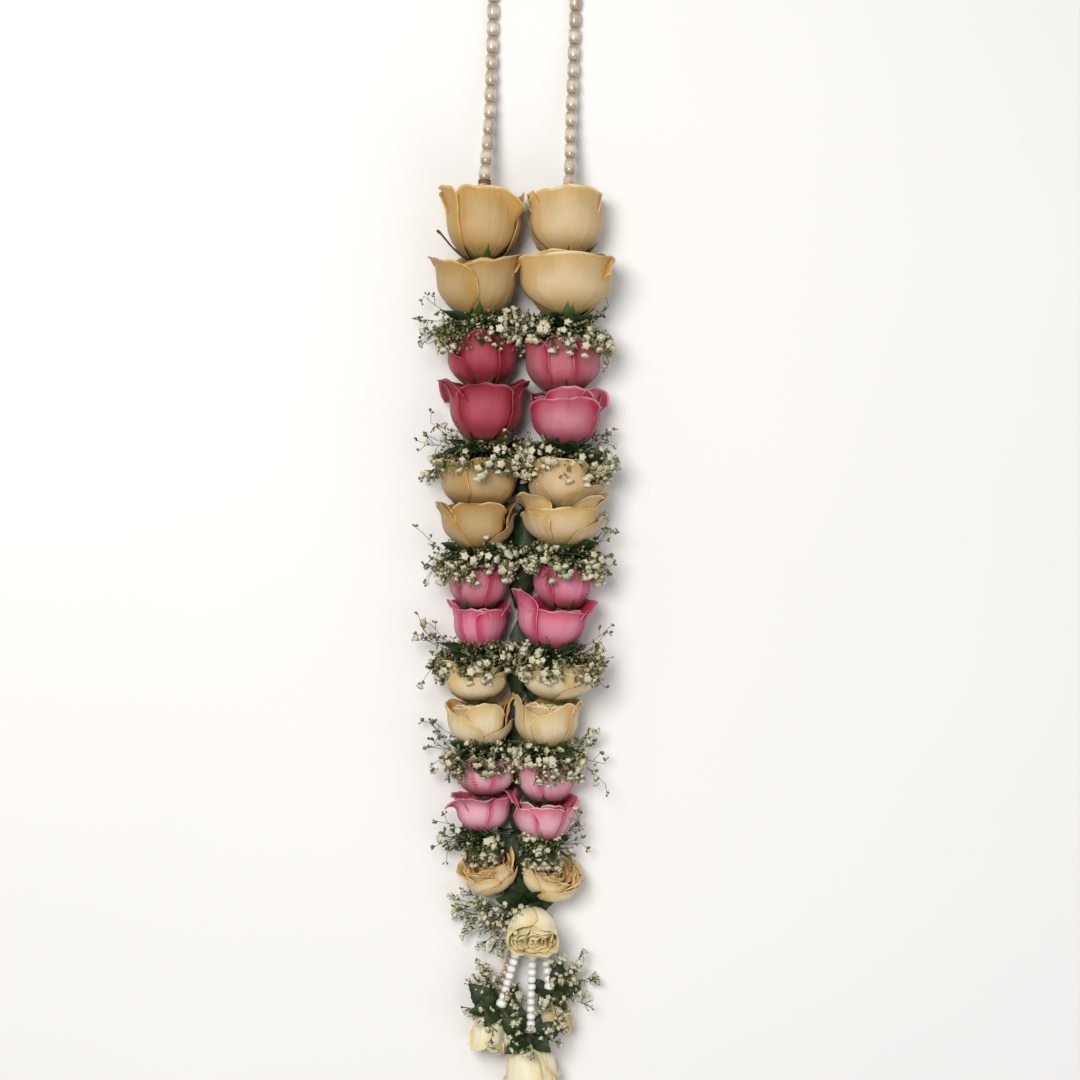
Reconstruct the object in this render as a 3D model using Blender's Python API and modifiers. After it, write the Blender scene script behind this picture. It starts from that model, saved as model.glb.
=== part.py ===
"""A two-strand rose garland with a pearl neck string and a beaded tassel.

The garland lies on its back on a flat surface at z = 0. Its strands run down along -Y, with the neck
loop at the +Y end, and every strung rose opens towards the neck. Each strand is a thread through rose
heads, with a collar of baby's breath and leaves after every second rose. Both threads end in one
binding knot, which carries a bud and four strings of small beads with roses hanging head down.
"""

import math
import random
from dataclasses import dataclass

import bmesh
import bpy
from mathutils import Matrix, Vector

MM = 0.001

# Strings, threads and clearances
THREAD_RADIUS = 0.6 * MM
THREAD_BORE_RADIUS = 1.5 * MM
FIT_GAP = 0.3 * MM
PEARL_RADIUS = 4.0 * MM
PEARL_PITCH = 11.2 * MM
PEARL_WAIST = 0.55
BEAD_RADIUS = 3.1 * MM
BEAD_PITCH = 5.6 * MM
BEAD_WAIST = 0.8

# Neck string, which leaves the top roses at their own height and then lies on the surface:
# places along it, and how far each side has drifted sideways from its rose there
NECK_PLACES = (298 * MM, 340 * MM, 400 * MM, 440 * MM)
LEFT_NECK_DRIFT = (0.4 * MM, 3.3 * MM, 5.2 * MM, 6.0 * MM)
RIGHT_NECK_DRIFT = (2.6 * MM, 3.9 * MM, 6.2 * MM, 6.8 * MM)
NECK_FALL_LENGTH = 75 * MM
NECK_LIFT = 0.1 * MM
NECK_ARC_STEPS = 6

# Rose build
PETAL_THICKNESS = 1.3 * MM
OUTER_PETALS = 4
PETAL_COLUMNS = (-1.0, -0.34, 0.34, 1.0)
PETAL_STEP_ANGLE = math.radians(7)
PETAL_OVERLAP_STEP = 0.065
PETAL_TIP_DROP = 0.17
PETAL_TIP_FULLNESS = 2.2
# Rings on the outside of the cup: share of the height, and how much of the overlap step shows there
CUP_RINGS = ((0.1, 0.2), (0.34, 0.7), (0.68, 1.0))
NECK_SHARE = 0.13
BELLY_HEIGHT = 0.55
BOWL_ROUNDNESS = 0.64
INNER_WALL = 0.8
INNER_WHORL = 0.6
INNER_WHORL_WAVE = 0.08
HEART_DISH = 0.05
FULLEST_HEART = 0.93
SEPALS_PER_ROSE = 3
SEPAL_THICKNESS = 2.3 * MM
SEPAL_STAND_OFF = 1.6 * MM
THREADED_SHARE = 0.3
REST_SINK = 0.35 * MM
NEST_GAP = 0.7 * MM

# Baby's breath and leaves
COLLAR_HUB_RADIUS = 6.0 * MM
COLLAR_STALKS = 7
COLLAR_LEAVES = 2
COLLAR_LEAF_LENGTH = 27 * MM
COLLAR_LEAF_WIDTH = 11 * MM
COLLAR_ROOT_SHARE = 0.55
COLLAR_LEAF_ROOT = 2.5 * MM
COLLAR_CLIMB = (4, 20)
SIDE_LIMIT = 67 * MM
FRONT_REACH = 33 * MM
SIDE_REACH = 43 * MM
MIDDLE_LINE = 5.0 * MM
STEM_RADIUS = 0.65 * MM
BUD_RADIUS = 2.1 * MM
LEAF_THICKNESS = 0.9 * MM
LEAF_FOLD = 0.22
LEAF_DROOP = 0.25
SURFACE_MARGIN = 0.6 * MM
HUB_GAP = 0.4 * MM
LAST_COLLAR_GAP = 5.5 * MM

# Binding knot that ties both threads and the tassel strings
KNOT_CENTRE = Vector((9.7, -178.7, 11.5)) * MM
KNOT_RADIUS = 5.0 * MM
KNOT_LENGTH = 9.0 * MM
KNOT_SIDES = 10
KNOT_SHOULDER = 0.85
KNOT_BARREL = 0.6
THREAD_ENTRY = 3.3 * MM

CREAM = ("rose_cream", (0.78, 0.60, 0.36), 0.55)
PINK = ("rose_pink", (0.68, 0.13, 0.27), 0.5)
PALE = ("rose_pale", (0.86, 0.76, 0.48), 0.55)
BREATH = ("babys_breath", (0.42, 0.45, 0.28), 0.7)
PEARL = ("pearl", (0.78, 0.69, 0.60), 0.25)
BEAD = ("bead_white", (0.88, 0.87, 0.84), 0.3)
THREAD = ("thread", (0.45, 0.33, 0.2), 0.8)


@dataclass(frozen=True)
class Rose:
    """One rose head: colour, base and rim places (mm), how far it has opened, spin and lean (degrees)."""

    name: str
    finish: tuple
    x: float
    rim: float
    base: float
    radius: float
    flare: float
    spin: float
    lean: float = 0.0
    heart: float = 0.8

    @property
    def height(self):
        return (self.rim - self.base) * MM

    @property
    def breadth(self):
        return self.radius * MM


@dataclass(frozen=True)
class Tuft:
    """Leaves and sprigs at a tassel string's end or at the knot; places and directions in mm."""

    name: str
    centre: tuple
    axis: tuple
    radius: float
    thickness: float
    leaves: tuple
    sprigs: tuple


LEFT_ROSES = (
    Rose("left_rose_01", CREAM, -20.8, 292.2, 241.9, 25.2, 0.07, 250, heart=0.86),
    Rose("left_rose_02", CREAM, -24.6, 250.9, 207.0, 27.8, 0.12, 222),
    Rose("left_rose_03", PINK, -21.9, 199.3, 161.9, 21.3, 0.02, 262),
    Rose("left_rose_04", PINK, -19.6, 170.9, 125.8, 26.4, 0.16, 270),
    Rose("left_rose_05", CREAM, -23.9, 118.0, 83.2, 24.3, 0.02, 280),
    Rose("left_rose_06", CREAM, -24.2, 90.9, 57.6, 24.4, 0.16, 262),
    Rose("left_rose_07", PINK, -24.9, 52.2, 18.7, 19.2, 0.05, 255),
    Rose("left_rose_08", PINK, -24.1, 27.7, -8.0, 18.6, 0.18, 290),
    Rose("left_rose_09", CREAM, -26.1, -12.2, -40.0, 22.3, 0.14, 240),
    Rose("left_rose_10", CREAM, -23.6, -38.1, -70.3, 20.4, 0.1, 300),
    Rose("left_rose_11", PINK, -19.8, -74.8, -101.9, 18.8, 0.06, 275),
    Rose("left_rose_12", PINK, -22.5, -98.0, -125.8, 17.9, 0.14, 258),
)
RIGHT_ROSES = (
    Rose("right_rose_01", CREAM, 31.9, 292.2, 243.2, 23.5, -0.06, 268, heart=0.86),
    Rose("right_rose_02", CREAM, 32.6, 252.2, 206.4, 27.9, 0.08, 275),
    Rose("right_rose_03", PINK, 29.6, 196.1, 158.0, 22.6, 0.0, 285),
    Rose("right_rose_04", PINK, 32.0, 163.2, 123.0, 22.2, 0.05, 248),
    Rose("right_rose_05", CREAM, 31.6, 117.5, 81.9, 25.0, 0.12, 265),
    Rose("right_rose_06", CREAM, 30.4, 96.0, 60.0, 28.1, 0.22, 270),
    Rose("right_rose_07", PINK, 31.0, 52.2, 18.7, 19.8, 0.08, 262),
    Rose("right_rose_08", PINK, 22.0, 30.0, -7.0, 25.6, 0.22, 275, lean=7),
    Rose("right_rose_09", CREAM, 27.2, -12.3, -38.5, 26.6, 0.2, 255),
    Rose("right_rose_10", CREAM, 18.4, -36.5, -71.0, 20.2, 0.05, 280, lean=3),
    Rose("right_rose_11", PINK, 20.4, -75.6, -107.0, 17.8, 0.0, 268),
    Rose("right_rose_12", PINK, 15.8, -97.0, -131.0, 20.2, 0.14, 272, lean=6),
)

# The last rose of each strand leans out, and so do the ones below the knot: base point and direction
LEANING = {
    "left_rose_13": (Vector((-12.3, -163.5, 15.0)), Vector((-0.32, 0.88, 0.34))),
    "right_rose_13": (Vector((17.1, -168.0, 15.0)), Vector((0.34, 0.88, 0.32))),
    "junction_rose": (Vector((10.4, -173.5, 22.0)), Vector((0.04, -0.8, 0.6))),
    "tassel_rose_left": (Vector((-12.8, -240.5, 12.8)), Vector((-0.25, -0.97, 0.0))),
    "tassel_rose_centre": (Vector((9.6, -257.5, 18.0)), Vector((0.0, -1.0, 0.0))),
    "tassel_rose_right": (Vector((24.2, -231.0, 11.8)), Vector((0.12, -0.99, 0.0))),
}
LEANING_ROSES = (
    Rose("left_rose_13", CREAM, 0, 25.5, 0, 19.0, 0.16, 240, heart=0.62),
    Rose("right_rose_13", CREAM, 0, 26.0, 0, 19.0, 0.16, 290, heart=0.62),
    Rose("junction_rose", PALE, 0, 28.0, 0, 15.8, 0.04, 262),
    Rose("tassel_rose_left", PALE, 0, 29.0, 0, 11.8, 0.05, 300),
    Rose("tassel_rose_centre", PALE, 0, 37.0, 0, 17.0, 0.12, 285, heart=0.7),
    Rose("tassel_rose_right", CREAM, 0, 26.0, 0, 11.0, 0.05, 240),
)

# A collar follows every second rose of a strand
COLLAR_AFTER = (1, 3, 5, 7, 9, 11)

# Bead strings of the tassel: name, top place under the knot, first bead, last bead (mm)
TASSEL_STRINGS = (
    ("tassel_string_left", (7.2, 11.5), (3.2, -192.0, 11.2), (-9.4, -236.4, 14.8)),
    ("tassel_string_centre", (10.2, 12.0), (10.3, -192.5, 11.0), (9.6, -253.4, 20.0)),
    ("tassel_string_right", (12.6, 10.5), (17.0, -192.0, 8.5), (21.8, -225.6, 12.6)),
    ("tassel_string_back", (7.6, 8.6), (1.0, -194.0, 4.2), (-13.6, -236.2, 7.4)),
)

TUFTS = (
    Tuft("junction_leaves", (9.7, -171.6, 11.5), (0, 1, 0), 2.2, 4.2,
         (((-0.45, 1.0, 0.5), 21, 8), ((-0.6, 0.5, 0.9), 14, 8)), ()),
    Tuft("junction_spray", (1.9, -178.7, 11.5), (1, 0, 0), 2.4, 4.6, (),
         ((-38, -176, 14), (-33, -190, 10), (-22, -197, 16), (-27, -180, 28), (-12, -188, 31),
          (-10, -172, 34))),
    Tuft("tassel_tuft_left", (-11.2, -238.6, 12.5), (0, 1, 0), 5.4, 2.4,
         (((-0.9, 0.35, 0.35), 21, 15), ((0.3, 0.1, 1.0), 17, 12), ((-0.6, -0.25, 0.9), 17, 12)),
         ((-36, -242, 15), (-37, -233, 7), (-31, -227, 20), (-1, -244, 31))),
    Tuft("tassel_tuft_centre", (9.6, -255.3, 19.5), (0, 1, 0), 4.8, 2.9,
         (((-0.85, -0.1, 0.65), 22, 16), ((0.8, 0.0, 0.85), 19, 14), ((0.1, -0.55, 1.1), 16, 13)),
         ((-11, -257, 37), (3, -247, 43), (26, -259, 39))),
    Tuft("tassel_tuft_right", (22.6, -228.3, 12.5), (0, 1, 0), 4.0, 1.9,
         (((1.0, 0.42, -0.05), 19, 11), ((0.85, -0.15, 0.9), 16, 11)),
         ((44, -206, 14), (49, -222, 9), (46, -238, 16), (51, -233, 8), (31, -206, 30), (38, -229, 32))),
)


def collection(name):
    """A new collection in the scene."""
    made = bpy.data.collections.new(name)
    bpy.context.scene.collection.children.link(made)
    return made


def principled(name, colour, roughness):
    """The one material of a colour, made the first time it is asked for."""
    if name in bpy.data.materials:
        return bpy.data.materials[name]
    made = bpy.data.materials.new(name)
    made.use_nodes = True
    shader = made.node_tree.nodes["Principled BSDF"]
    shader.inputs["Base Color"].default_value = (*colour, 1)
    shader.inputs["Roughness"].default_value = roughness
    shader.inputs["Metallic"].default_value = 0.0
    return made


def new_object(name, mesh, holder):
    """An object of a mesh or a curve in a collection."""
    made = bpy.data.objects.new(name, mesh)
    holder.objects.link(made)
    return made


def evaluated_mesh(obj):
    """A new mesh of an object with its modifiers applied."""
    bpy.context.view_layer.update()
    graph = bpy.context.evaluated_depsgraph_get()
    return bpy.data.meshes.new_from_object(obj.evaluated_get(graph), depsgraph=graph)


def settle_modifiers(obj):
    """Applies an object's modifiers to its mesh."""
    made = evaluated_mesh(obj)
    obj.modifiers.clear()
    old = obj.data
    obj.data = made
    bpy.data.meshes.remove(old)


def as_mesh(curve_object, holder):
    """Turns a tube into a mesh object with its end caps welded on."""
    made = evaluated_mesh(curve_object)
    builder = bmesh.new()
    builder.from_mesh(made)
    bmesh.ops.remove_doubles(builder, verts=builder.verts, dist=0.00001)
    bmesh.ops.recalc_face_normals(builder, faces=builder.faces)
    builder.to_mesh(made)
    builder.free()
    name, place = curve_object.name, curve_object.matrix_world.copy()
    bpy.data.objects.remove(curve_object)
    obj = new_object(name, made, holder)
    obj.matrix_world = place
    return obj


def keep_largest(obj):
    """Fills any hollow that joining has sealed and drops loose scraps, by keeping the main surface."""
    builder = bmesh.new()
    builder.from_mesh(obj.data)
    waiting, islands = set(builder.verts), []
    while waiting:
        island, edge_of = set(), [waiting.pop()]
        while edge_of:
            vert = edge_of.pop()
            island.add(vert)
            for edge in vert.link_edges:
                other = edge.other_vert(vert)
                if other in waiting:
                    waiting.remove(other)
                    edge_of.append(other)
        islands.append(island)
    main_island = max(islands, key=len)
    bmesh.ops.delete(builder, geom=[v for v in builder.verts if v not in main_island], context="VERTS")
    builder.to_mesh(obj.data)
    builder.free()


def join(base, repeats):
    """Unites a base object with every object of a collection, which is then emptied."""
    union = base.modifiers.new("join", "BOOLEAN")
    union.operation = "UNION"
    union.operand_type = "COLLECTION"
    union.collection = repeats
    union.solver = "MANIFOLD"
    settle_modifiers(base)
    keep_largest(base)
    for obj in list(repeats.objects):
        bpy.data.objects.remove(obj)
    return base


def cut(obj, cutter):
    """Takes a cutter's space out of an object."""
    hole = obj.modifiers.new("cut", "BOOLEAN")
    hole.operation = "DIFFERENCE"
    hole.object = cutter
    hole.solver = "MANIFOLD"
    settle_modifiers(obj)


def turned(name, profile, sides, holder):
    """A solid turned about its own Z axis from (radius, height) points, listed from top to bottom."""
    mesh = bpy.data.meshes.new(name)
    points = [(radius, 0.0, height) for radius, height in profile]
    mesh.from_pydata(points, [(i, i + 1) for i in range(len(points) - 1)], [])
    obj = new_object(name, mesh, holder)
    screw = obj.modifiers.new("turn", "SCREW")
    screw.axis = "Z"
    screw.steps = sides
    screw.render_steps = sides
    screw.use_merge_vertices = True
    screw.merge_threshold = 0.0001
    settle_modifiers(obj)
    return obj


def tube(name, points, radius, holder, widths=None, resolution=1):
    """A round tube on straight runs between points, with a width factor for each point."""
    curve = bpy.data.curves.new(name, "CURVE")
    curve.dimensions = "3D"
    curve.bevel_depth = radius
    curve.bevel_resolution = resolution
    curve.use_fill_caps = True
    spline = curve.splines.new("POLY")
    spline.points.add(len(points) - 1)
    for index, (point, place) in enumerate(zip(spline.points, points)):
        point.co = (*place, 1.0)
        point.radius = widths[index] if widths else 1.0
    return new_object(name, curve, holder)


def smooth_path(stops, steps):
    """Points on one smooth curve through the stops, with the given number of steps between two."""
    padded = [2 * stops[0] - stops[1], *stops, 2 * stops[-1] - stops[-2]]
    path = []
    for a, b, c, d in zip(padded, padded[1:], padded[2:], padded[3:]):
        for step in range(steps):
            t = step / steps
            path.append(
                0.5 * (2 * b + (c - a) * t + (2 * a - 5 * b + 4 * c - d) * t**2
                       + (3 * b - a - 3 * c + d) * t**3)
            )
    path.append(stops[-1].copy())
    return path


def evenly_spaced(path, spacing):
    """Points at an even distance along a path, both ends included."""
    lengths = [0.0]
    for a, b in zip(path, path[1:]):
        lengths.append(lengths[-1] + (b - a).length)
    count = max(1, round(lengths[-1] / spacing))
    places = []
    k = 0
    for index in range(count + 1):
        want = lengths[-1] * index / count
        while k < len(path) - 2 and lengths[k + 1] < want:
            k += 1
        places.append(path[k].lerp(path[k + 1], (want - lengths[k]) / (lengths[k + 1] - lengths[k])))
    return places


def bowl_radius(rose, t):
    """Outer radius of a rose at a share t of its height: a rounded cup that flares or closes."""
    swell = math.sin(math.pi / 2 * min(1.0, max(0.0, t) / BELLY_HEIGHT)) ** BOWL_ROUNDNESS
    opening = max(0.0, (t - BELLY_HEIGHT) / (1 - BELLY_HEIGHT)) ** 2
    belly = 1.0 / (1.0 + max(0.0, rose.flare))
    return rose.breadth * (NECK_SHARE + (belly - NECK_SHARE) * swell + rose.flare * belly * opening)


def petal_columns(rose, draw):
    """Heading, place across its petal, tip height and lip of each column of the outer whorl."""
    columns = []
    span = math.tau / OUTER_PETALS
    for index in range(OUTER_PETALS):
        tip, lip = draw.uniform(0.94, 1.03), draw.uniform(0.02, 0.1) + 0.5 * max(0.0, rose.flare)
        middle = math.radians(rose.spin) + index * span
        for across in PETAL_COLUMNS:
            heading = middle + across * (span - PETAL_STEP_ANGLE) / 2
            columns.append((heading, across, tip, lip))
    return columns


def rose_rings(rose, heart_top, draw):
    """Rings of points from the base over the outer petals' rim into the cup and up the inner whorl."""
    columns = petal_columns(rose, draw)
    rings = []

    def ring(place):
        points = []
        for heading, across, tip, lip in columns:
            radius, height = place(heading, across, tip, lip)
            points.append(Vector((radius * math.cos(heading), radius * math.sin(heading), height)))
        rings.append(points)

    def bowl(share, step):
        return lambda heading, across, tip, lip: (
            bowl_radius(rose, share) * (1 + step * PETAL_OVERLAP_STEP * across), share * rose.height)

    def rim(inset):
        def place(heading, across, tip, lip):
            share = tip - PETAL_TIP_DROP * abs(across) ** PETAL_TIP_FULLNESS
            radius = bowl_radius(rose, share) * (1 + PETAL_OVERLAP_STEP * across)
            radius += rose.breadth * lip * (1 - 0.5 * abs(across)) - inset
            return radius, share * rose.height - 0.4 * inset
        return place

    def inner(share_of_bowl, height, wave):
        def place(heading, across, tip, lip):
            ripple = wave * math.cos(3 * heading + rose.spin)
            return bowl_radius(rose, height) * share_of_bowl * (1 + 0.5 * ripple), \
                (height + 0.4 * ripple) * rose.height
        return place

    for share, step in CUP_RINGS:
        ring(bowl(share, step))
    ring(rim(0.0))
    ring(rim(PETAL_THICKNESS))
    ring(inner(INNER_WALL, heart_top - 0.16, 0.0))
    ring(inner(INNER_WHORL, heart_top - 0.03, INNER_WHORL_WAVE))
    return rings


def rose_body(rose, heart_top, draw, holder):
    """The flower as one closed body: rings joined by faces and closed at both poles."""
    rings = rose_rings(rose, heart_top, draw)
    builder = bmesh.new()
    loops = [[builder.verts.new(point) for point in ring] for ring in rings]
    count = len(loops[0])
    for lower, upper in zip(loops, loops[1:]):
        for k in range(count):
            n = (k + 1) % count
            builder.faces.new((lower[k], lower[n], upper[n], upper[k]))
    base = builder.verts.new((0, 0, 0))
    top = builder.verts.new((0, 0, (heart_top - HEART_DISH) * rose.height))
    for k in range(count):
        n = (k + 1) % count
        builder.faces.new((base, loops[0][n], loops[0][k]))
        builder.faces.new((top, loops[-1][k], loops[-1][n]))
    bmesh.ops.triangulate(builder, faces=builder.faces)
    bmesh.ops.recalc_face_normals(builder, faces=builder.faces)
    mesh = bpy.data.meshes.new(rose.name)
    builder.to_mesh(mesh)
    builder.free()
    return new_object(rose.name, mesh, holder)


def spike(start, tip, thickness, holder):
    """A three-sided thorn between two points, thick at its start."""
    builder = bmesh.new()
    along = tip - start
    bmesh.ops.create_cone(builder, cap_ends=True, segments=3, radius1=thickness, radius2=0.0,
                          depth=along.length)
    place = Matrix.Translation((start + tip) / 2) @ along.to_track_quat("Z", "Y").to_matrix().to_4x4()
    bmesh.ops.transform(builder, matrix=place, verts=builder.verts)
    mesh = bpy.data.meshes.new("thorn")
    builder.to_mesh(mesh)
    builder.free()
    new_object("thorn", mesh, holder)


def stalk(root, tip, holder):
    """A thin stem of baby's breath that swells into a bud at its tip."""
    along = tip - root
    length = along.length
    profile = [(0.0, length + 0.9 * BUD_RADIUS), (BUD_RADIUS, length),
               (STEM_RADIUS * 0.8, length - 1.1 * BUD_RADIUS), (STEM_RADIUS, 0.0), (0.0, 0.0)]
    obj = turned("stalk", profile, 3, holder)
    obj.data.transform(Matrix.Translation(root) @ along.to_track_quat("Z", "Y").to_matrix().to_4x4())


def sepals(rose, holder):
    """The green calyx tips that hug the base of a rose."""
    for index in range(SEPALS_PER_ROSE):
        heading = math.radians(rose.spin + 30) + index * math.tau / SEPALS_PER_ROSE
        out = Vector((math.cos(heading), math.sin(heading), 0))
        root = out * bowl_radius(rose, 0.1) * 0.8 + Vector((0, 0, 0.07 * rose.height))
        tip = out * (bowl_radius(rose, 0.33) + SEPAL_STAND_OFF) + Vector((0, 0, 0.36 * rose.height))
        spike(root, tip, SEPAL_THICKNESS, holder)


def build_rose(rose, holder, repeats, heart_top=None):
    """A whole rose head about its own Z axis, base at its origin."""
    draw = random.Random(rose.name)
    body = rose_body(rose, heart_top or rose.heart, draw, holder)
    sepals(rose, repeats)
    join(body, repeats)
    body.data.materials.clear()
    body.data.materials.append(principled(*rose.finish))
    return body


def lowest(obj):
    """Height of an object's lowest corner in the world."""
    bpy.context.view_layer.update()
    return min((obj.matrix_world @ vert.co).z for vert in obj.data.vertices)


def stand_on_surface(obj):
    """Lowers an object until it would press slightly into the surface."""
    obj.location.z -= lowest(obj) + REST_SINK
    bpy.context.view_layer.update()


def as_cutter(obj):
    """Marks a guide that shapes other pieces and isn't one itself."""
    obj.hide_render = True
    obj.display_type = "WIRE"
    return obj


class Strand:
    """One strand of the garland: its roses, collars and thread."""

    def __init__(self, side, roses, parts, repeats, cutters):
        self.side, self.roses = side, roses
        self.parts, self.repeats, self.cutters = parts, repeats, cutters
        self.objects = []
        self.hubs = []

    def place_roses(self):
        """Builds each rose, lays it on the surface and opens it towards the neck."""
        for index, rose in enumerate(self.roses):
            obj = build_rose(rose, self.parts, self.repeats, self.heart_top(index))
            obj.rotation_euler = (-math.pi / 2, 0, -math.radians(rose.lean))
            obj.location = Vector((rose.x, rose.base, 0)) * MM
            stand_on_surface(obj)
            self.objects.append(obj)

    def heart_top(self, index):
        """Share of a rose's height that its heart fills, under the rose or the collar on top of it."""
        rose = self.roses[index]
        if index == 0:
            return rose.heart
        nested = self.roses[index - 1].base * MM - NEST_GAP - rose.base * MM
        return min(FULLEST_HEART, nested / rose.height)

    def axis_point(self, index, share):
        """A place on a rose's own axis, at a share of its height."""
        rose = self.roses[index]
        along = Vector((math.sin(math.radians(rose.lean)), math.cos(math.radians(rose.lean)), 0))
        return self.objects[index].location + along * share * rose.height

    def centre(self, index):
        """Centre height of a rose's axis over the surface."""
        return self.objects[index].location.z

    def hub_places(self):
        """Centre and thickness of each collar's hub, in the gap between two roses."""
        for after in COLLAR_AFTER:
            upper = self.axis_point(after, 0)
            if after + 1 < len(self.roses):
                lower = self.axis_point(after + 1, 1)
            else:
                lower = upper - Vector((0, LAST_COLLAR_GAP, 0))
            middle = (upper + lower) / 2
            self.hubs.append((middle, upper.y - lower.y - 2 * HUB_GAP))

    def thread_stops(self):
        """Places that the thread runs through, from the top rose's heart down to the last collar."""
        stops = [self.axis_point(0, self.roses[0].heart)]
        stops += [self.axis_point(index, THREADED_SHARE) for index in range(len(self.roses))]
        stops.append(self.hubs[-1][0])
        return stops

    def bore(self, path):
        """Cuts the thread's way through every rose."""
        tunnel = as_mesh(tube("tunnel", path, THREAD_BORE_RADIUS, self.cutters, resolution=0), self.cutters)
        for obj in self.objects:
            cut(obj, tunnel)
        return as_cutter(tunnel)


def leaf(root, along, face, length, width, rows, teeth, holder):
    """A pointed leaf with a toothed edge, folded a little along its midrib."""
    builder = bmesh.new()
    bmesh.ops.create_grid(builder, x_segments=2, y_segments=rows, size=1.0)
    along = along.normalized()
    side = along.cross(face).normalized()
    up = side.cross(along)
    for vert in builder.verts:
        across, share = vert.co.x, (vert.co.y + 1) / 2
        row = round(share * rows)
        half = width / 2 * (0.1 + 0.9 * math.sin(math.pi * min(0.97, 0.06 + share) ** 0.85))
        half *= 1 - teeth * (row % 2)
        lift = LEAF_FOLD * abs(across) * half - LEAF_DROOP * width * share**2
        vert.co = root + along * share * length + side * across * half + up * lift
    bmesh.ops.triangulate(builder, faces=builder.faces, quad_method="FIXED")
    mesh = bpy.data.meshes.new("leaf")
    builder.to_mesh(mesh)
    builder.free()
    obj = new_object("leaf", mesh, holder)
    blade = obj.modifiers.new("blade", "SOLIDIFY")
    blade.thickness = LEAF_THICKNESS
    blade.offset = 0.0


def hub(name, centre, axis, radius, thickness, holder):
    """The wrapped middle of a collar or tuft, which its stems and leaves grow from."""
    half = thickness / 2
    profile = [(0.0, half), (radius * 0.9, half), (radius, -half), (0.0, -half)]
    obj = turned(name, profile, 6, holder)
    turn = axis.to_track_quat("Z", "X").to_matrix().to_4x4()
    obj.data.transform(Matrix.Translation(centre) @ turn)
    return obj


def finish_greens(obj, repeats):
    """Unites a hub with its stems, buds and leaves in one body."""
    join(obj, repeats)
    obj.data.materials.clear()
    obj.data.materials.append(principled(*BREATH))
    return obj


def collar_reach(middle, heading):
    """How far a sprig may reach from its strand: wide at the sides, short over the surface."""
    outward = Vector((math.cos(heading), 0, math.sin(heading)))
    reach = SIDE_REACH * abs(outward.x) + FRONT_REACH * (1 - abs(outward.x))
    if outward.z < 0:
        reach = min(reach, (middle.z - BUD_RADIUS - SURFACE_MARGIN) / -outward.z)
    room = abs(middle.x - MIDDLE_LINE) - 1.6 * BUD_RADIUS
    if outward.x * (MIDDLE_LINE - middle.x) > 0:
        reach = min(reach, room / abs(outward.x))
    elif outward.x:
        reach = min(reach, (SIDE_LIMIT - abs(middle.x)) / abs(outward.x))
    return outward, reach


def build_collar(name, middle, thickness, parts, repeats):
    """A ring of baby's breath and leaves round the thread, between two roses."""
    draw = random.Random(name)
    obj = hub(name, middle, Vector((0, 1, 0)), COLLAR_HUB_RADIUS, thickness, parts)
    first = draw.uniform(0, math.tau)
    for index in range(COLLAR_STALKS):
        heading = first + math.tau * (index + draw.uniform(-0.25, 0.25)) / COLLAR_STALKS
        outward, reach = collar_reach(middle, heading)
        reach *= draw.uniform(0.82, 1.0)
        climb = math.tan(math.radians(draw.uniform(*COLLAR_CLIMB)))
        root = middle + outward * COLLAR_ROOT_SHARE * COLLAR_HUB_RADIUS
        stalk(root, middle + outward * reach + Vector((0, climb * reach, 0)), repeats)
    for index in range(COLLAR_LEAVES):
        heading = first + math.tau * (index + 0.45) / COLLAR_LEAVES
        outward, reach = collar_reach(middle, heading)
        along = (outward + Vector((0, 0.16, 0))).normalized()
        face = Vector((0, 1, 0)) + outward.cross(Vector((0, 1, 0))) * draw.uniform(-0.3, 0.3)
        length = min(reach, COLLAR_LEAF_LENGTH) - 4 * MM
        leaf(middle + outward * COLLAR_LEAF_ROOT, along, face, length, COLLAR_LEAF_WIDTH, 2, 0.0, repeats)
    return finish_greens(obj, repeats)


def build_strand(side, roses, last_rose, knot_entry, parts, repeats, cutters):
    """Builds one strand, from its top rose to its end in the knot."""
    strand = Strand(side, roses, parts, repeats, cutters)
    strand.place_roses()
    strand.hub_places()
    strand.objects.append(last_rose)
    base = last_rose.matrix_world.translation
    heading = last_rose.matrix_world.to_3x3() @ Vector((0, 0, 1))
    stops = strand.thread_stops()
    stops += [base + heading * 12 * MM, base - heading * 1.5 * MM, knot_entry]
    path = smooth_path(stops, 1)
    tunnel = strand.bore(path)
    for number, (middle, thickness) in enumerate(strand.hubs, 1):
        greens = build_collar(f"{side}_collar_{number}", middle, thickness, parts, repeats)
        cut(greens, tunnel)
    thread = tube(f"{side}_thread", path, THREAD_RADIUS, parts, resolution=0)
    thread.data.materials.append(principled(*THREAD))
    return strand


def lay_leaning_rose(rose, parts, repeats):
    """Builds a rose that leans out of line, at its base point and direction."""
    base, heading = LEANING[rose.name]
    obj = build_rose(rose, parts, repeats)
    turn = heading.normalized().to_track_quat("Z", "X")
    obj.rotation_mode = "QUATERNION"
    obj.rotation_quaternion = turn
    obj.location = base * MM
    if rose.name != "junction_rose":
        stand_on_surface(obj)
    bpy.context.view_layer.update()
    return obj


def neck_height(y, start_height):
    """Height of the neck string: level at the rose, then down to lie on the surface."""
    t = min(1.0, max(0.0, (y - NECK_PLACES[0]) / NECK_FALL_LENGTH))
    return start_height + (PEARL_RADIUS + NECK_LIFT - start_height) * t * t * (3 - 2 * t)


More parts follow.
